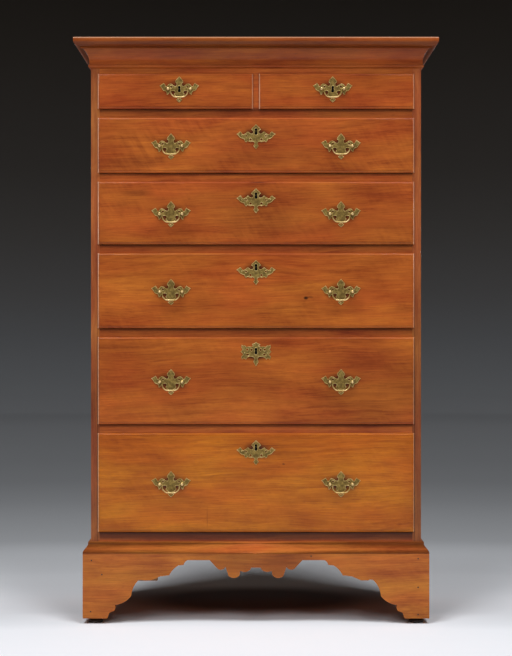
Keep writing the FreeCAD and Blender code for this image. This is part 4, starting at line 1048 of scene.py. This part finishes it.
def studio_paper():
    """Matt paper with painted light: its shade follows the distance from its middle, with a painted shadow
    beneath the chest.
    """
    material, tree, shader = new_material("studio_paper")
    place = tree.nodes.new("ShaderNodeTexCoord").outputs["Object"]
    level = add_node(tree, "ShaderNodeSeparateXYZ", {0: place}).outputs["Z"]
    apart = add_node(tree, "ShaderNodeVectorMath", {0: place, 1: FLOOR_MIDDLE}, operation="SUBTRACT")
    around = stretched(tree, apart.outputs[0], (1, 1, 0))
    out = add_node(tree, "ShaderNodeVectorMath", {0: around}, operation="LENGTH")
    along = add_node(tree, "ShaderNodeMath", {0: out.outputs["Value"], 1: level}, operation="ADD")
    reach = FLOOR_SHADES[-1][0]
    share = add_node(tree, "ShaderNodeMath", {0: along.outputs[0], 1: reach}, operation="DIVIDE")
    # Painted light and shade across the paper, by distance from its middle
    ramp = add_node(tree, "ShaderNodeValToRGB", {"Fac": share.outputs[0]})
    stops = ramp.color_ramp.elements
    stops.remove(stops[0])
    for number, (metres, shade) in enumerate(FLOOR_SHADES):
        stop = stops.new(1) if number else stops[0]
        stop.position = metres / reach
        warmth = WARM_RATE * max(0, metres - WARM_START)
        stop.color = (shade * (PAPER_RED + warmth), shade, shade * (PAPER_BLUE - warmth), 1)
    # The painted shadow beneath the chest
    beneath = add_node(tree, "ShaderNodeVectorMath", {0: place, 1: UNDER_MIDDLE}, operation="SUBTRACT")
    across = stretched(tree, beneath.outputs[0], (1 / UNDER_HALF[0], 1 / UNDER_HALF[1], 0))
    far = add_node(tree, "ShaderNodeVectorMath", {0: across}, operation="LENGTH")
    shade = add_node(tree, "ShaderNodeMapRange",
                     {"Value": far.outputs["Value"], "From Min": UNDER_FULL, "From Max": UNDER_GONE,
                      "To Min": UNDER_SHADE, "To Max": 1.0}, interpolation_type="SMOOTHSTEP")
    colour = add_node(tree, "ShaderNodeVectorMath", {0: ramp.outputs["Color"], "Scale": shade.outputs[0]},
                      operation="SCALE")
    tree.links.new(colour.outputs[0], shader.inputs["Base Color"])
    shader.inputs["Roughness"].default_value = 0.9
    shader.inputs["Specular IOR Level"].default_value = 0.1
    return material


def studio():
    """The floor and the far wall in one sweep: a flat disc whose rim curves up, turned about Z.

    x = radius cos a, y = radius sin a. The rim's radius grows by its curve times sin b, and its height
    by its curve times (1 - cos b), as b goes from level to upright; then the wall goes straight up.
    """
    bend_start = FLOOR_RADIUS - WALL_CURVE
    flat = np.linspace(0, bend_start, FLOOR_RINGS)
    bend = np.linspace(0, np.pi / 2, WALL_CURVE_RINGS)[1:]
    radius = np.concatenate([flat, bend_start + WALL_CURVE * np.sin(bend), [FLOOR_RADIUS]])
    height = np.concatenate([0 * flat, WALL_CURVE * (1 - np.cos(bend)), [WALL_HEIGHT]])
    angle = np.linspace(0, 2 * np.pi, FLOOR_SIDES, endpoint=False)
    points = np.stack([radius[:, None] * np.cos(angle), radius[:, None] * np.sin(angle),
                       np.broadcast_to(height[:, None], (len(radius), len(angle)))], axis=-1)
    mesh = bpy.data.meshes.new("studio_floor")
    mesh.from_pydata(points.reshape(-1, 3).tolist(), [], grid_faces(len(radius), len(angle)).tolist())
    mesh.polygons.foreach_set("use_smooth", [True] * len(mesh.polygons))
    mesh.materials.append(studio_paper())
    floor = bpy.data.objects.new("studio_floor", mesh)
    bpy.context.scene.collection.objects.link(floor)


def lamp(name, place, aim, width, watts, spread):
    """A square light at a place, turned to its aim; a small spread makes it a gridded lamp."""
    light = bpy.data.lights.new(name, "AREA")
    light.shape = "SQUARE"
    light.size = width
    light.energy = watts
    light.spread = spread
    made = bpy.data.objects.new(name, light)
    bpy.context.scene.collection.objects.link(made)
    made.visible_camera = False
    made.location = place
    made.rotation_mode = "QUATERNION"
    made.rotation_quaternion = Vector(np.subtract(aim, place)).to_track_quat("-Z", "Y")


def light_and_camera():
    """Soft lights high in front, gridded lamps at the sides and behind, a dim world, and the camera."""
    for name, setting in LAMPS.items():
        lamp(name, *setting)
    world = bpy.data.worlds.new("studio_air")
    bpy.context.scene.world = world
    world.use_nodes = True
    world.node_tree.nodes["Background"].inputs["Color"].default_value = (1, 1, 1, 1)
    world.node_tree.nodes["Background"].inputs["Strength"].default_value = WORLD_LIGHT
    camera = bpy.data.objects.new("camera", bpy.data.cameras.new("camera"))
    bpy.context.scene.collection.objects.link(camera)
    case_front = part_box("case_side_left")[0][1]
    camera.location = (0, case_front - CAMERA_DISTANCE, CAMERA_HEIGHT)
    camera.rotation_euler = (np.pi / 2, 0, 0)
    camera.data.lens = SENSOR * CAMERA_DISTANCE / VIEW_HEIGHT
    camera.data.sensor_width = SENSOR
    bpy.context.scene.camera = camera
    bpy.context.scene.view_settings.view_transform = "Standard"


dress_case()
dress_drawers()
make_brasses()
make_nails()
studio()
light_and_camera()
